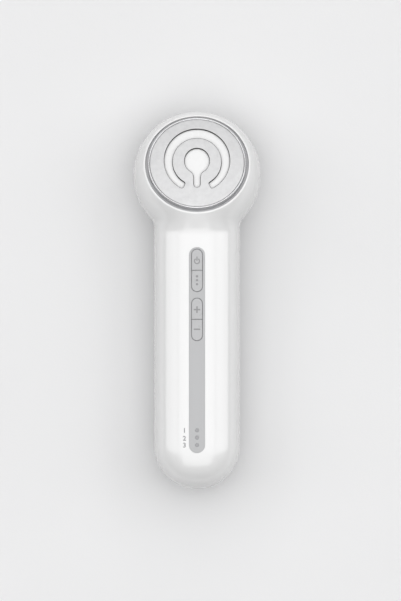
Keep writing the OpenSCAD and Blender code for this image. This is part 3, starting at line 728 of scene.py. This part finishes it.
def strip_pocket(form, outer, inner):
    """Fills both skins round the strip's pocket, which is open under the keys and the lenses."""
    pocket = hole(strip_outline(FIT_LINE))
    grow = FLANGE_MORE + HOLE_MORE
    holes = [hole(stadium(PAIR_W + grow, PAIR_L + grow, y, 16, 12)) for y in PAIR_Y]
    lens_w = LENS_D + LENS_HOLE_MORE
    holes.append(hole(stadium(lens_w, 2 * LENS_PITCH + lens_w, LENS_Y[1], 12, 8)))
    top = form.edge(pocket, skin_z, level(STRIP_Z), STRIP_EDGE_R)
    form.fill([outer.patch, top], skin_z, SKIN_GRID)
    form.fill([hole(pocket)] + holes, level(STRIP_Z))

    def inner_z(x, y):
        return skin_z(x, y, WALL)

    for h in holes:
        form.wall(h, inner_z, level(STRIP_Z))
    form.fill([inner.patch] + holes, inner_z, INNER_GRID)


def front_shell():
    form = Form()
    outer = FrontSkin(0.0, LAND_EDGE, EDGE_COLS, MID_COLS)
    inner = FrontSkin(WALL, -COLLAR_H, INNER_EDGE_COLS, INNER_MID_COLS)
    for skin in (outer, inner):
        lay_skin(form, skin)
    ends = tail_end(form, outer.first_row, inner.first_row, FRONT_DEPTH, 1)
    form.rows([end + skin.parting for end, skin in zip(ends, (outer, inner))])
    land_and_collar(form, outer, inner)
    form.mirrored()
    strip_pocket(form, outer, inner)
    form.piece("front_housing", HOUSING, "housing", ["front_shell"], "housing_white")


def patch_outline(rows):
    """Outline, seen from the front, round mirrored rows of points."""
    right = [(r[0][0], r[0][1]) for r in rows]
    top = [(p[0], p[1]) for p in rows[-1][1:]]
    top += [(-x, y) for x, y in reversed(top[:-1])]
    low = [(p[0], p[1]) for p in rows[0][1:]]
    low = [(-x, y) for x, y in low[:-1]] + list(reversed(low))
    return right + top + [(-x, y) for x, y in reversed(right)] + low


REST_SOFT = 0.15  # height over which the edge of the resting flat is softened


def rest_clamp(z):
    """Keeps the back above the plane that it rests on, with a soft edge."""
    near = max(REST_SOFT - abs(z), 0) / REST_SOFT
    return max(z, 0) + near * near * REST_SOFT / 4


def rear_shell():
    form = Form()
    firsts, partings = [], []
    angles = [math.pi / 2 * i / REAR_COLS for i in range(REAR_COLS + 1)]
    for t in (0.0, WALL):
        tail, handle = handle_stations(t)
        neck = [NECK_Y + (HEAD_Y - NECK_Y) * i / REAR_NECK_N for i in range(REAR_NECK_N)]
        turns = [math.pi / 2 * i / REAR_HEAD_N for i in range(REAR_HEAD_N)]
        head = [HEAD_Y + (HEAD_R - t) * math.sin(a) for a in turns]
        rows = []
        for y in tail + handle + neck + head:
            row = [skin_point(y, t, a, back_depth) for a in angles]
            row = [(x, yy, 2 * AXIS_Z - z) for x, yy, z in row]
            if t:
                row = [(x, yy, max(z, WALL)) for x, yy, z in row]
            else:
                row = with_seam([(x, yy, rest_clamp(z)) for x, yy, z in row], -1)
            rows.append(row)
        form.rows(rows)
        low_tip, _ = close_tip(form, rows, t)
        firsts.append(rows[0])
        partings.append([r[0] for r in rows[1:]] + [low_tip])
    ends = tail_end(form, *firsts, BACK_DEPTH, -1)
    form.rows([end + parting for end, parting in zip(ends, partings)])
    form.mirrored()
    form.piece("rear_housing", HOUSING, "housing", ["rear_shell"], "housing_white")


# The tail's end, as a patch round the charging slot
MOUTH_R, MOUTH_N = 0.3, 4  # rounding of the slot's edge
SLOT_SIDE_N, SLOT_ARC_N, SLOT_LINE_N = 5, 12, 6
TAIL_GRID = 0.8  # spacing of the points in the patch
SEAM_FADE = 2.0  # run over which the parting groove starts at the slot


def tail_y(x, z, t, depth):
    """Where the round tail's inset skin lies at x and z over the parting plane."""
    n = HANDLE_SQUARE
    w = (abs(x) ** n + (abs(z) * HW / depth) ** n) ** (1 / n)
    return CAP_Y - root((HW - t) ** 2 - w * w)


def slot_quarter(grow):
    """A quarter of the slot's outline, from its middle to the parting plane."""
    r = SOCKET_H / 2 + SLIDE + grow
    side = (SOCKET_W - SOCKET_H) / 2
    return [(side * i / SLOT_SIDE_N, r) for i in range(SLOT_SIDE_N)] + arc(side, 0, r, 90, 0, SLOT_ARC_N)


def tail_end(form, outer, inner, depth, side):
    """Closes one shell's tail round the slot. outer and inner are the first rows of its skins.

    Returns each skin's line along the parting plane, from the slot to those rows.
    """
    turns = [math.pi / 2 * k / MOUTH_N for k in range(MOUTH_N + 1)]
    mouths = [slot_quarter(MOUTH_R * (1 - math.cos(a))) for a in turns]
    drops = [MOUTH_R * (1 - math.sin(a)) for a in turns]
    patch = Form()  # its points are x, height over the parting plane, y

    def skin(t, drop=0.0):
        return lambda x, z: tail_y(x, z, t, depth) + drop

    def lift(points, height):
        return [(x, z, height(x, z)) for x, z in points]

    walls = [lift(mouths[0], skin(WALL))] + [lift(m, skin(0.0, d)) for m, d in zip(mouths, drops)]
    patch.rows(walls)

    def seam_at(x):
        return SEAM * ease((x - mouths[-1][-1][0]) / SEAM_FADE)

    lines = []
    ends = [(row[0][0], 0, row[0][1]) for row in (outer, inner)]
    for t, row, mouth in ((0.0, outer[1:], mouths[-1]), (WALL, inner, mouths[0])):
        rim = [(x, side * (z - AXIS_Z)) for x, _, z in row]
        steps = line(mouth[-1], rim[0], SLOT_LINE_N)
        low = [(x, 0.0 if t else seam_at(x)) for x, _ in steps]
        patch.fill([low + rim + line(rim[-1], mouth[0], SLOT_LINE_N) + mouth], skin(t), TAIL_GRID)
        lines.append([(x, 0, tail_y(x, 0, t + z, depth)) for x, z in low])
        if t == 0:
            upper = lift([mouth[-1]] + low + rim[:1], skin(t))
            patch.rows([upper, [upper[0]] + lines[0] + [ends[0]]])
    outer_line = [w[-1] for w in walls[1:]] + lines[0] + [ends[0]]
    inner_line = [walls[0][-1]] * (MOUTH_N + 1) + lines[1] + [ends[1]]

    def place(x, z, y):
        return (x, y, AXIS_Z + side * z)

    form.join(patch.moved(place))
    return [[place(*p) for p in points] for points in (outer_line, inner_line)]


# -------- controls
STRIP_EDGE_R, STRIP_SUNK = 0.07, 0.02
CONTROL_GRID = 0.9
WEB_T, WEB_BELOW, WEB_INTO, WEB_EDGE_R = 0.18, 0.35, 0.05, 0.03


def strip_outline(grow=0.0):
    middle, long = (STRIP_TOP + STRIP_END) / 2, STRIP_TOP - STRIP_END
    return stadium(STRIP_W + 2 * grow, long + 2 * grow, middle, 24, 80)


def control_strip():
    loops = [strip_outline()]
    loops += [hole(stadium(PAIR_W, PAIR_L, y, 20, 12)) for y in PAIR_Y]
    loops += [hole(circle(0, y, LENS_D / 2 + FIT_LINE, 32)) for y in LENS_Y]
    form = Form()

    def top(x, y):
        return skin_z(x, y) - STRIP_SUNK

    form.panel(loops, top, level(STRIP_Z), STRIP_EDGE_R, CONTROL_GRID)
    for y in PAIR_Y:
        divider_web(form, y)
    form.piece("grey_strip", STRIP, "housing", ["control_strip"], "strip_grey")


def divider_web(form, y):
    """Thin web across a slot of the strip, sunk between its two keys."""
    x, t = PAIR_W / 2 + WEB_INTO, WEB_T / 2
    loop = line((-x, y - t), (x, y - t), 8) + [(x, y - t), (x, y + t)]
    loop = [(-x, y - t)] + loop + line((x, y + t), (-x, y + t), 8) + [(-x, y + t)]

    def top(px, py):
        return skin_z(px, py) - WEB_BELOW

    web = Form()
    web.panel([loop], top, level(STRIP_Z), WEB_EDGE_R, None, 2)
    form.join(web)


KEY_CORNER, KEY_EDGE_R, KEY_GRID = 0.3, 0.22, 0.7


def cap_z(x, y):
    """Height of the keys' tops."""
    return skin_z(x, y) + BUTTON_PROUD


def key_outline(w, y_flat, y_end, side):
    """D-shaped outline: a straight end at y_flat and a round one that reaches y_end."""
    centre = y_end - side * w / 2
    x, r = w / 2, KEY_CORNER
    round_end = arc(0, centre, x, 0, 180, 24)
    flat = arc(-x + r, y_flat + r, r, 180, 270, 5)
    flat += line(flat[-1], (x - r, y_flat), 6) + arc(x - r, y_flat + r, r, 270, 360, 5)
    if side < 0:
        # the same outline turned over, kept counter-clockwise
        round_end = [(px, 2 * centre - py) for px, py in round_end]
        flat = [(px, 2 * y_flat - py) for px, py in flat]
    n = 8
    loop = round_end + line(round_end[-1], flat[0], n) + flat + line(flat[-1], round_end[0], n)
    return loop if side > 0 else list(reversed(loop))


def key_place(i):
    """Middle of the pair that key i belongs to, and which side of it the key is on."""
    return PAIR_Y[i // 2], (1 if i % 2 == 0 else -1)


def key(i, kind):
    """Key i: its cap, the flange that holds it in, and its post."""
    pair, side = key_place(i)
    flat = pair + side * DIVIDER / 2
    cap = key_outline(PAIR_W - 2 * BUTTON_GAP, flat, pair + side * (PAIR_L / 2 - BUTTON_GAP), side)
    flange_w = PAIR_W + FLANGE_MORE
    foot = key_outline(flange_w, flat, pair + side * (PAIR_L + FLANGE_MORE) / 2, side)
    post = circle(0, pair + side * PAIR_L / 4, POST_R, 32)
    form = Form()
    shelf = FLANGE_Z + FLANGE_T
    start = form.edge(cap, cap_z, level(shelf), KEY_EDGE_R)
    form.fill([start], cap_z, KEY_GRID)
    form.rows([
        [(x, y, shelf) for x, y in cap],
        [(x, y, shelf) for x, y in foot],
        [(x, y, FLANGE_Z) for x, y in foot],
    ], closed=True)
    form.fill([foot, hole(post)], level(FLANGE_Z))
    form.wall(post, level(FLANGE_Z), level(STEM_Z))
    form.fill([post], level(STEM_Z))
    form.piece(kind + "_key_cap", KEYS, kind + "_key", [kind + "_button"], "button_grey")


# -------- raised prints
PRINT_T = 0.03
SYMBOL_W, STROKE = 3.3, 0.72
BAR_CORNER = 0.12
SYMBOL_IN = 0.5  # the symbols stand this much nearer to the divider than the key's middle
POWER_R, POWER_OPEN, POWER_BAR, POWER_STROKE = 1.27, 40, 2.1, 0.8 * STROKE
POWER_BAR_DOWN = 0.05
DOT_R, DOT_PITCH = 0.6, 1.97
NUMERAL_H, NUMERAL_X, NUMERAL_BOLD = 2.4, -6.3, 0.07
FONT_SIZE = 1.38 * NUMERAL_H  # at which the font's numerals have that height


def bar(w, h, x=0.0, y=0.0):
    """Outline of a bar with softly rounded corners."""
    r = BAR_CORNER
    loop = []
    for k, (sx, sy) in enumerate(((1, 1), (-1, 1), (-1, -1), (1, -1))):
        loop += arc(x + sx * (w / 2 - r), y + sy * (h / 2 - r), r, 90 * k, 90 * k + 90, 3)
    return loop


def cross(w, stroke):
    """Outline of a plus sign."""
    a, b = w / 2, stroke / 2
    quarter = [(a, -b), (a, b), (b, b)]
    loop = []
    for k in range(4):
        c, d = round(math.cos(k * math.pi / 2)), round(math.sin(k * math.pi / 2))
        loop += [(x * c - y * d, x * d + y * c) for x, y in quarter]
    return loop


def open_ring(r, stroke, half_open):
    """Outline of a ring with round ends, open at its top by half_open degrees to each side."""
    outer = arc(0, 0, r + stroke / 2, 90 + half_open, 450 - half_open, 40)
    end = math.radians(90 - half_open)
    tip = math.degrees(end)
    loop = outer + arc(r * math.cos(end), r * math.sin(end), stroke / 2, tip, tip + 180, 6)[1:]
    loop += arc(0, 0, r - stroke / 2, 450 - half_open, 90 + half_open, 40)[1:]
    return loop + arc(-r * math.cos(end), r * math.sin(end), stroke / 2, -tip, 180 - tip, 6)[1:-1]


def symbol(kind):
    """Outlines of a key's symbol round the origin, +Y towards the head."""
    if kind == "power":
        low = -SYMBOL_IN / 2
        ring = [(x, y + low) for x, y in open_ring(POWER_R, POWER_STROKE, POWER_OPEN)]
        return [ring, bar(POWER_STROKE, POWER_BAR, 0, low + POWER_R - POWER_BAR_DOWN)]
    if kind == "mode":
        return [circle(0, k * DOT_PITCH, DOT_R, 20) for k in (-1, 0, 1)]
    if kind == "plus":
        return [cross(SYMBOL_W, STROKE)]
    return [bar(SYMBOL_W, STROKE)]


def key_symbol(i, kind):
    pair, side = key_place(i)
    y0 = pair + side * (PAIR_L / 4 - SYMBOL_IN)

    def top(x, y):
        return cap_z(x, y) + PRINT_T

    form = Form()
    for loop in symbol(kind):
        loop = [(x, y + y0) for x, y in loop]
        form.wall(loop, cap_z, top)
        form.fill([loop], top)
        form.fill([loop], cap_z)
    form.piece(kind + "_symbol", SYMBOLS, kind + "_key", (), "button_grey")


def numerals():
    """Plain numbers beside the indicator lenses."""
    form = Form()
    for number, y in zip("123", LENS_Y):
        text = bpy.data.curves.new("number", "FONT")
        text.body, text.size = number, FONT_SIZE
        text.align_x, text.align_y = "CENTER", "CENTER"
        text.resolution_u, text.offset, text.extrude = 6, NUMERAL_BOLD, PRINT_T / 2
        shape = bpy.data.objects.new("number", text)
        slab = shape.to_mesh()
        glyph = Form()
        middle = sum(v.co.y for v in slab.vertices) / len(slab.vertices)
        glyph.points = [(v.co.x + NUMERAL_X, v.co.y - middle + y, v.co.z) for v in slab.vertices]
        glyph.faces = [tuple(p.vertices) for p in slab.polygons]
        glyph.moved(lambda x, yy, z: (x, yy, skin_z(x, yy) + PRINT_T / 2 + z))
        form.join(glyph)
        shape.to_mesh_clear()
        bpy.data.objects.remove(shape)
    form.piece("numerals", NUMERALS, "housing", (), "strip_grey", join=PRINT_T / 2)


LENS_SUNK, LENS_DOME, LENS_EDGE_R, LENS_GRID = 0.08, 0.06, 0.04, 0.3
LENS_FOOT = 1.0  # gap to the board, where the diodes are


def lenses():
    form = Form()
    r = LENS_D / 2
    for y in LENS_Y:
        outline = circle(0, y, r, 48)

        def top(x, yy, mid=y):
            return FRONT_Z - LENS_SUNK + LENS_DOME * (1 - (x * x + (yy - mid) ** 2) / (r * r))

        form.panel([outline], top, level(FRONT_Z - BOARD_BELOW + LENS_FOOT), LENS_EDGE_R, LENS_GRID)
    form.piece("light_pipes", LENSES, "housing", ["indicator_lenses"], "lens_frosted")


# -------- applicator
# The windows are longer up the face than the CAD ones, so that they look round from the front:
# how many times as long, and how far up they move
RING_LONGER, RING_UP = 1.043, 0.09
KEYHOLE_LONGER, KEYHOLE_UP = 1.089, 0.48
RING_CORNER = 1.0
PLATE_EDGE_R, WINDOW_EDGE_R = 0.12, 0.1
FACE_GRID, WINDOW_GRID, SEAT_GRID = 0.9, 0.8, 1.5
# thickness and depth of the dark lining that paints shade on the windows' walls
PAINTED_SHADE_T, PAINTED_SHADE_BELOW = 0.15, 0.12
GASKET_EDGE_R, GASKET_FLANGE_T, GASKET_FLANGE_IN = 0.1, 0.9, 0.1


def dome(x, y):
    """Height of the plate's domed face over the land."""
    return DOME_TOP - DOME_R + math.sqrt(DOME_R**2 - x * x - y * y)


def ring_window(inset=0.0):
    """Outline of the ring window: a band between eccentric circles, open towards the handle."""
    outer_r, inner_r, corner = RING_R - inset, RING_INNER + inset, RING_CORNER - inset
    # Corner arcs stand off the straight end, whose line leaves the middle at RING_OPEN
    along = (math.sin(RING_OPEN), -math.cos(RING_OPEN))
    off = (math.cos(RING_OPEN), math.sin(RING_OPEN))
    clear = inset + corner

    def corner_centre(cy, reach):
        base = (clear * off[0], clear * off[1] - cy)
        b = base[0] * along[0] + base[1] * along[1]
        c = base[0] ** 2 + base[1] ** 2 - reach**2
        d = -b + math.sqrt(b * b - c)
        return (base[0] + d * along[0], base[1] + d * along[1] + cy)

    out_c, in_c = corner_centre(RING_SHIFT, outer_r - corner), corner_centre(0, inner_r + corner)
    to_end = math.degrees(math.atan2(-off[1], -off[0]))
    a_out = math.degrees(math.atan2(out_c[1] - RING_SHIFT, out_c[0]))
    a_in = math.degrees(math.atan2(in_c[1], in_c[0]))
    half = arc(0, RING_SHIFT, outer_r, 90, a_out, 90)
    half += arc(*out_c, corner, a_out, to_end, 10)[1:]
    half += line(half[-1], (in_c[0] - corner * off[0], in_c[1] - corner * off[1]), 4)
    half += arc(*in_c, corner, to_end, a_in - 180, 10)
    half += arc(0, 0, inner_r, a_in, 90, 80)[1:]
    loop = half + [(-x, y) for x, y in reversed(half[1:-1])]
    return list(reversed(loop))


def keyhole(inset=0.0):
    """Outline of the middle window: a disc with a stem, filleted where they meet."""
    disc, stem, fillet = KEYHOLE_R - inset, STEM_W / 2 - inset, KEYHOLE_FILLET + inset
    cx = stem + fillet
    cy = -math.sqrt((disc + fillet) ** 2 - cx * cx)
    a = math.degrees(math.atan2(cy, cx))
    end_y = -(STEM_REACH - STEM_W / 2)
    right = arc(0, end_y, stem, -90, 0, 10)
    right += line(right[-1], (stem, cy), 5)
    right += arc(cx, cy, fillet, 180, a + 180, 8)
    right += arc(0, 0, disc, a, 90, 48)[1:]
    return right + [(-x, y) for x, y in reversed(right[1:-1])]


def windows(inset=0.0):
    """Outlines of both windows."""
    ring = [(x, RING_LONGER * y + RING_UP) for x, y in ring_window(inset)]
    return [ring, [(x, KEYHOLE_LONGER * y + KEYHOLE_UP) for x, y in keyhole(inset)]]


def electrode_plate():
    form = Form()
    loops = [circle(0, 0, RIM_R - RIM_T - 2 * FIT_LINE, 256)] + [hole(w) for w in windows()]

    def under(x, y):
        return dome(x, y) - PLATE_T

    form.panel(loops, dome, under, PLATE_EDGE_R, FACE_GRID)
    form.moved(face_point)
    form.piece("electrode", PLATE, "housing", ["electrode_plate"], "plate_silver")


def painted_shade_linings():
    """Dark lining on the wall of each opening of the plate: painted shade where those walls lie in
    shadow.
    """
    form = Form()
    for outer, inner in zip(windows(), windows(PAINTED_SHADE_T)):
        section = ((outer, PLATE_T), (outer, PAINTED_SHADE_BELOW), (inner, PAINTED_SHADE_BELOW), (inner, PLATE_T))
        rows = [[(x, y, dome(x, y) - below) for x, y in loop] for loop, below in section]
        form.rows(rows + rows[:1], closed=True)
    form.moved(face_point)
    form.piece("painted_shade_linings", PAINTED_SHADE, "housing", (), "gasket_grey")


def light_window():
    form = Form()
    disc = circle(0, 0, WINDOW_R - SLIDE, 200)
    islands = windows(WINDOW_GAP)

    def low(x, y):
        return dome(x, y) - PLATE_T - SLIDE

    def top(x, y):
        return dome(x, y) - PLATE_T + WINDOW_RISE

    for loop in islands:
        form.fill([form.edge(loop, top, low, WINDOW_EDGE_R)], top, WINDOW_GRID)
    form.fill([disc] + [hole(i) for i in islands], low, SEAT_GRID)
    form.wall(disc, level(WINDOW_SEAT), low)
    form.fill([disc], level(WINDOW_SEAT))
    form.moved(face_point)
    form.piece("frosted_window", WINDOW, "housing", ["light_window"], "window_white")


def quarter_turns(n, first, last):
    """Angles in n steps between two numbers of quarter turns."""
    return np.linspace(first * math.pi / 2, last * math.pi / 2, n + 1)


def rim():
    r = RIM_T / 2
    r_mid, w_mid = RIM_R - r, RIM_H - r
    top = [(r_mid + r * math.cos(a), w_mid + r * math.sin(a)) for a in quarter_turns(16, 0, 2)]
    form = revolve([(RIM_R, RIM_SEAT)] + top + [(RIM_R - RIM_T, RIM_SEAT)])
    form.piece("electrode_rim", RIM, "housing", ["rim_electrode"], "rim_silver")


def gasket():
    flange_top, flange_r = -COLLAR_H - GASKET_FLANGE_T, LAND_R - GASKET_FLANGE_IN
    inner_r, outer_r, r = RIM_R + FIT_LINE, OPENING_R - FIT_LINE, GASKET_EDGE_R
    w_mid = GASKET_TOP - r
    lip = [(outer_r - r + r * math.cos(a), w_mid + r * math.sin(a)) for a in quarter_turns(4, 0, 1)]
    lip += [(inner_r + r - r * math.cos(a), w_mid + r * math.sin(a)) for a in quarter_turns(4, 1, 0)]
    foot = [(inner_r, flange_top), (flange_r, flange_top), (flange_r, -COLLAR_H), (outer_r, -COLLAR_H)]
    form = revolve(foot + lip)
    form.piece("gap_gasket", GASKET, "housing", ["cup_gasket"], "gasket_grey")


# -------- stage, light, camera
FLOOR = 8.0  # half of its side, in metres
FLOOR_SEEN = ((0.78, 0.78, 0.785), (0.8, 0.8, 0.805))
FLOOR_LIGHT = (0.38, 0.4)  # its grey for the light that it throws back on the device


def stage():
    """Pale floor with a faint mottle."""
    mesh = bpy.data.meshes.new("floor")
    corners = [(-FLOOR, -FLOOR, 0), (FLOOR, -FLOOR, 0), (FLOOR, FLOOR, 0), (-FLOOR, FLOOR, 0)]
    mesh.from_pydata(corners, [], [(0, 1, 2, 3)])
    floor = bpy.data.objects.new("floor", mesh)
    bpy.context.scene.collection.objects.link(floor)
    paper = Material("pale floor", Roughness=0.9)
    mottle = paper.noise(6, 3)
    pale, dim = paper.ramp(mottle, *FLOOR_SEEN), paper.ramp(mottle, *FLOOR_LIGHT)
    seen = paper.node("ShaderNodeMix", data_type="RGBA")
    paths = paper.node("ShaderNodeLightPath").outputs
    either = paper.node("ShaderNodeMath", operation="MAXIMUM")
    paper.link(paths["Is Camera Ray"], either.inputs[0])
    paper.link(paths["Is Glossy Ray"], either.inputs[1])
    paper.link(either.outputs[0], seen.inputs["Factor"])
    paper.link(dim, seen.inputs["A"])
    paper.link(pale, seen.inputs["B"])
    paper.link(seen.outputs["Result"], paper.shader.inputs["Base Color"])
    paper.bump((paper.noise(900, 3), 3e-5))
    mesh.materials.append(paper.data)


def softbox(name, place, size, radiance):
    """Rectangular light that faces down."""
    data = bpy.data.lights.new(name, "AREA")
    data.shape = "RECTANGLE"
    data.size, data.size_y = size
    data.energy = radiance * math.pi * size[0] * size[1]
    light = bpy.data.objects.new(name, data)
    bpy.context.scene.collection.objects.link(light)
    light.location = place


BOX_H = 7.0  # height of the softboxes, in metres
# What each softbox spans, as angles from the vertical towards +X and +Y, and its radiance
SOFTBOXES = {
    "overhead": ((-32, 32), (-30, 26), 1.37),
    "near": ((-28, 28), (-50, -30), 1.5),
    "left": ((-77, -35), (-24, 50), 1.3),
    "right": ((35, 77), (-24, 50), 1.5),
    "far": ((-50, 50), (28, 76), 1.1),
}
ROOM, BACKGROUND = 0.1, 0.8


def lights():
    for name, (*spans, radiance) in SOFTBOXES.items():
        (x0, x1), (y0, y1) = [[BOX_H * math.tan(math.radians(a)) for a in span] for span in spans]
        softbox(name, ((x0 + x1) / 2, (y0 + y1) / 2, BOX_H), (x1 - x0, y1 - y0), radiance)
    room()


def room():
    """Dim room light, and a pale background where the camera sees past the floor."""
    world = bpy.data.worlds.new("room")
    world.use_nodes = True
    nodes, links = world.node_tree.nodes, world.node_tree.links
    strength = nodes.new("ShaderNodeMapRange")
    strength.inputs["To Min"].default_value = ROOM
    strength.inputs["To Max"].default_value = BACKGROUND
    links.new(nodes.new("ShaderNodeLightPath").outputs["Is Camera Ray"], strength.inputs["Value"])
    links.new(strength.outputs["Result"], nodes["Background"].inputs["Strength"])
    nodes["Background"].inputs["Color"].default_value = (1, 1, 1, 1)
    bpy.context.scene.world = world


PIXEL = 0.5036 * MM  # size of a photograph's pixel on the device
PHOTO_W, PHOTO_H = 401, 601
CENTRE_PX = (197.0, 300.2)  # where the device's middle is in the photograph
LENS, SENSOR = 600.0, 36.0


def camera():
    """Looks straight down, from where a pixel of the frame covers PIXEL of the device."""
    data = bpy.data.cameras.new("camera")
    data.lens, data.sensor_width = LENS, SENSOR
    cam = bpy.data.objects.new("camera", data)
    bpy.context.scene.collection.objects.link(cam)
    away = PHOTO_H * PIXEL * LENS / SENSOR
    x = (PHOTO_W / 2 - CENTRE_PX[0]) * PIXEL
    y = -(PHOTO_H / 2 - CENTRE_PX[1]) * PIXEL
    cam.location = (x, y, AXIS_Z * MM + away)
    bpy.context.scene.camera = cam


front_shell()
rear_shell()
control_strip()
for i, kind in enumerate(("power", "mode", "plus", "minus")):
    key(i, kind)
    key_symbol(i, kind)
numerals()
lenses()
electrode_plate()
painted_shade_linings()
light_window()
rim()
gasket()
finish_inner_pieces()
stage()
lights()
camera()
bpy.context.scene.view_settings.view_transform = "Standard"
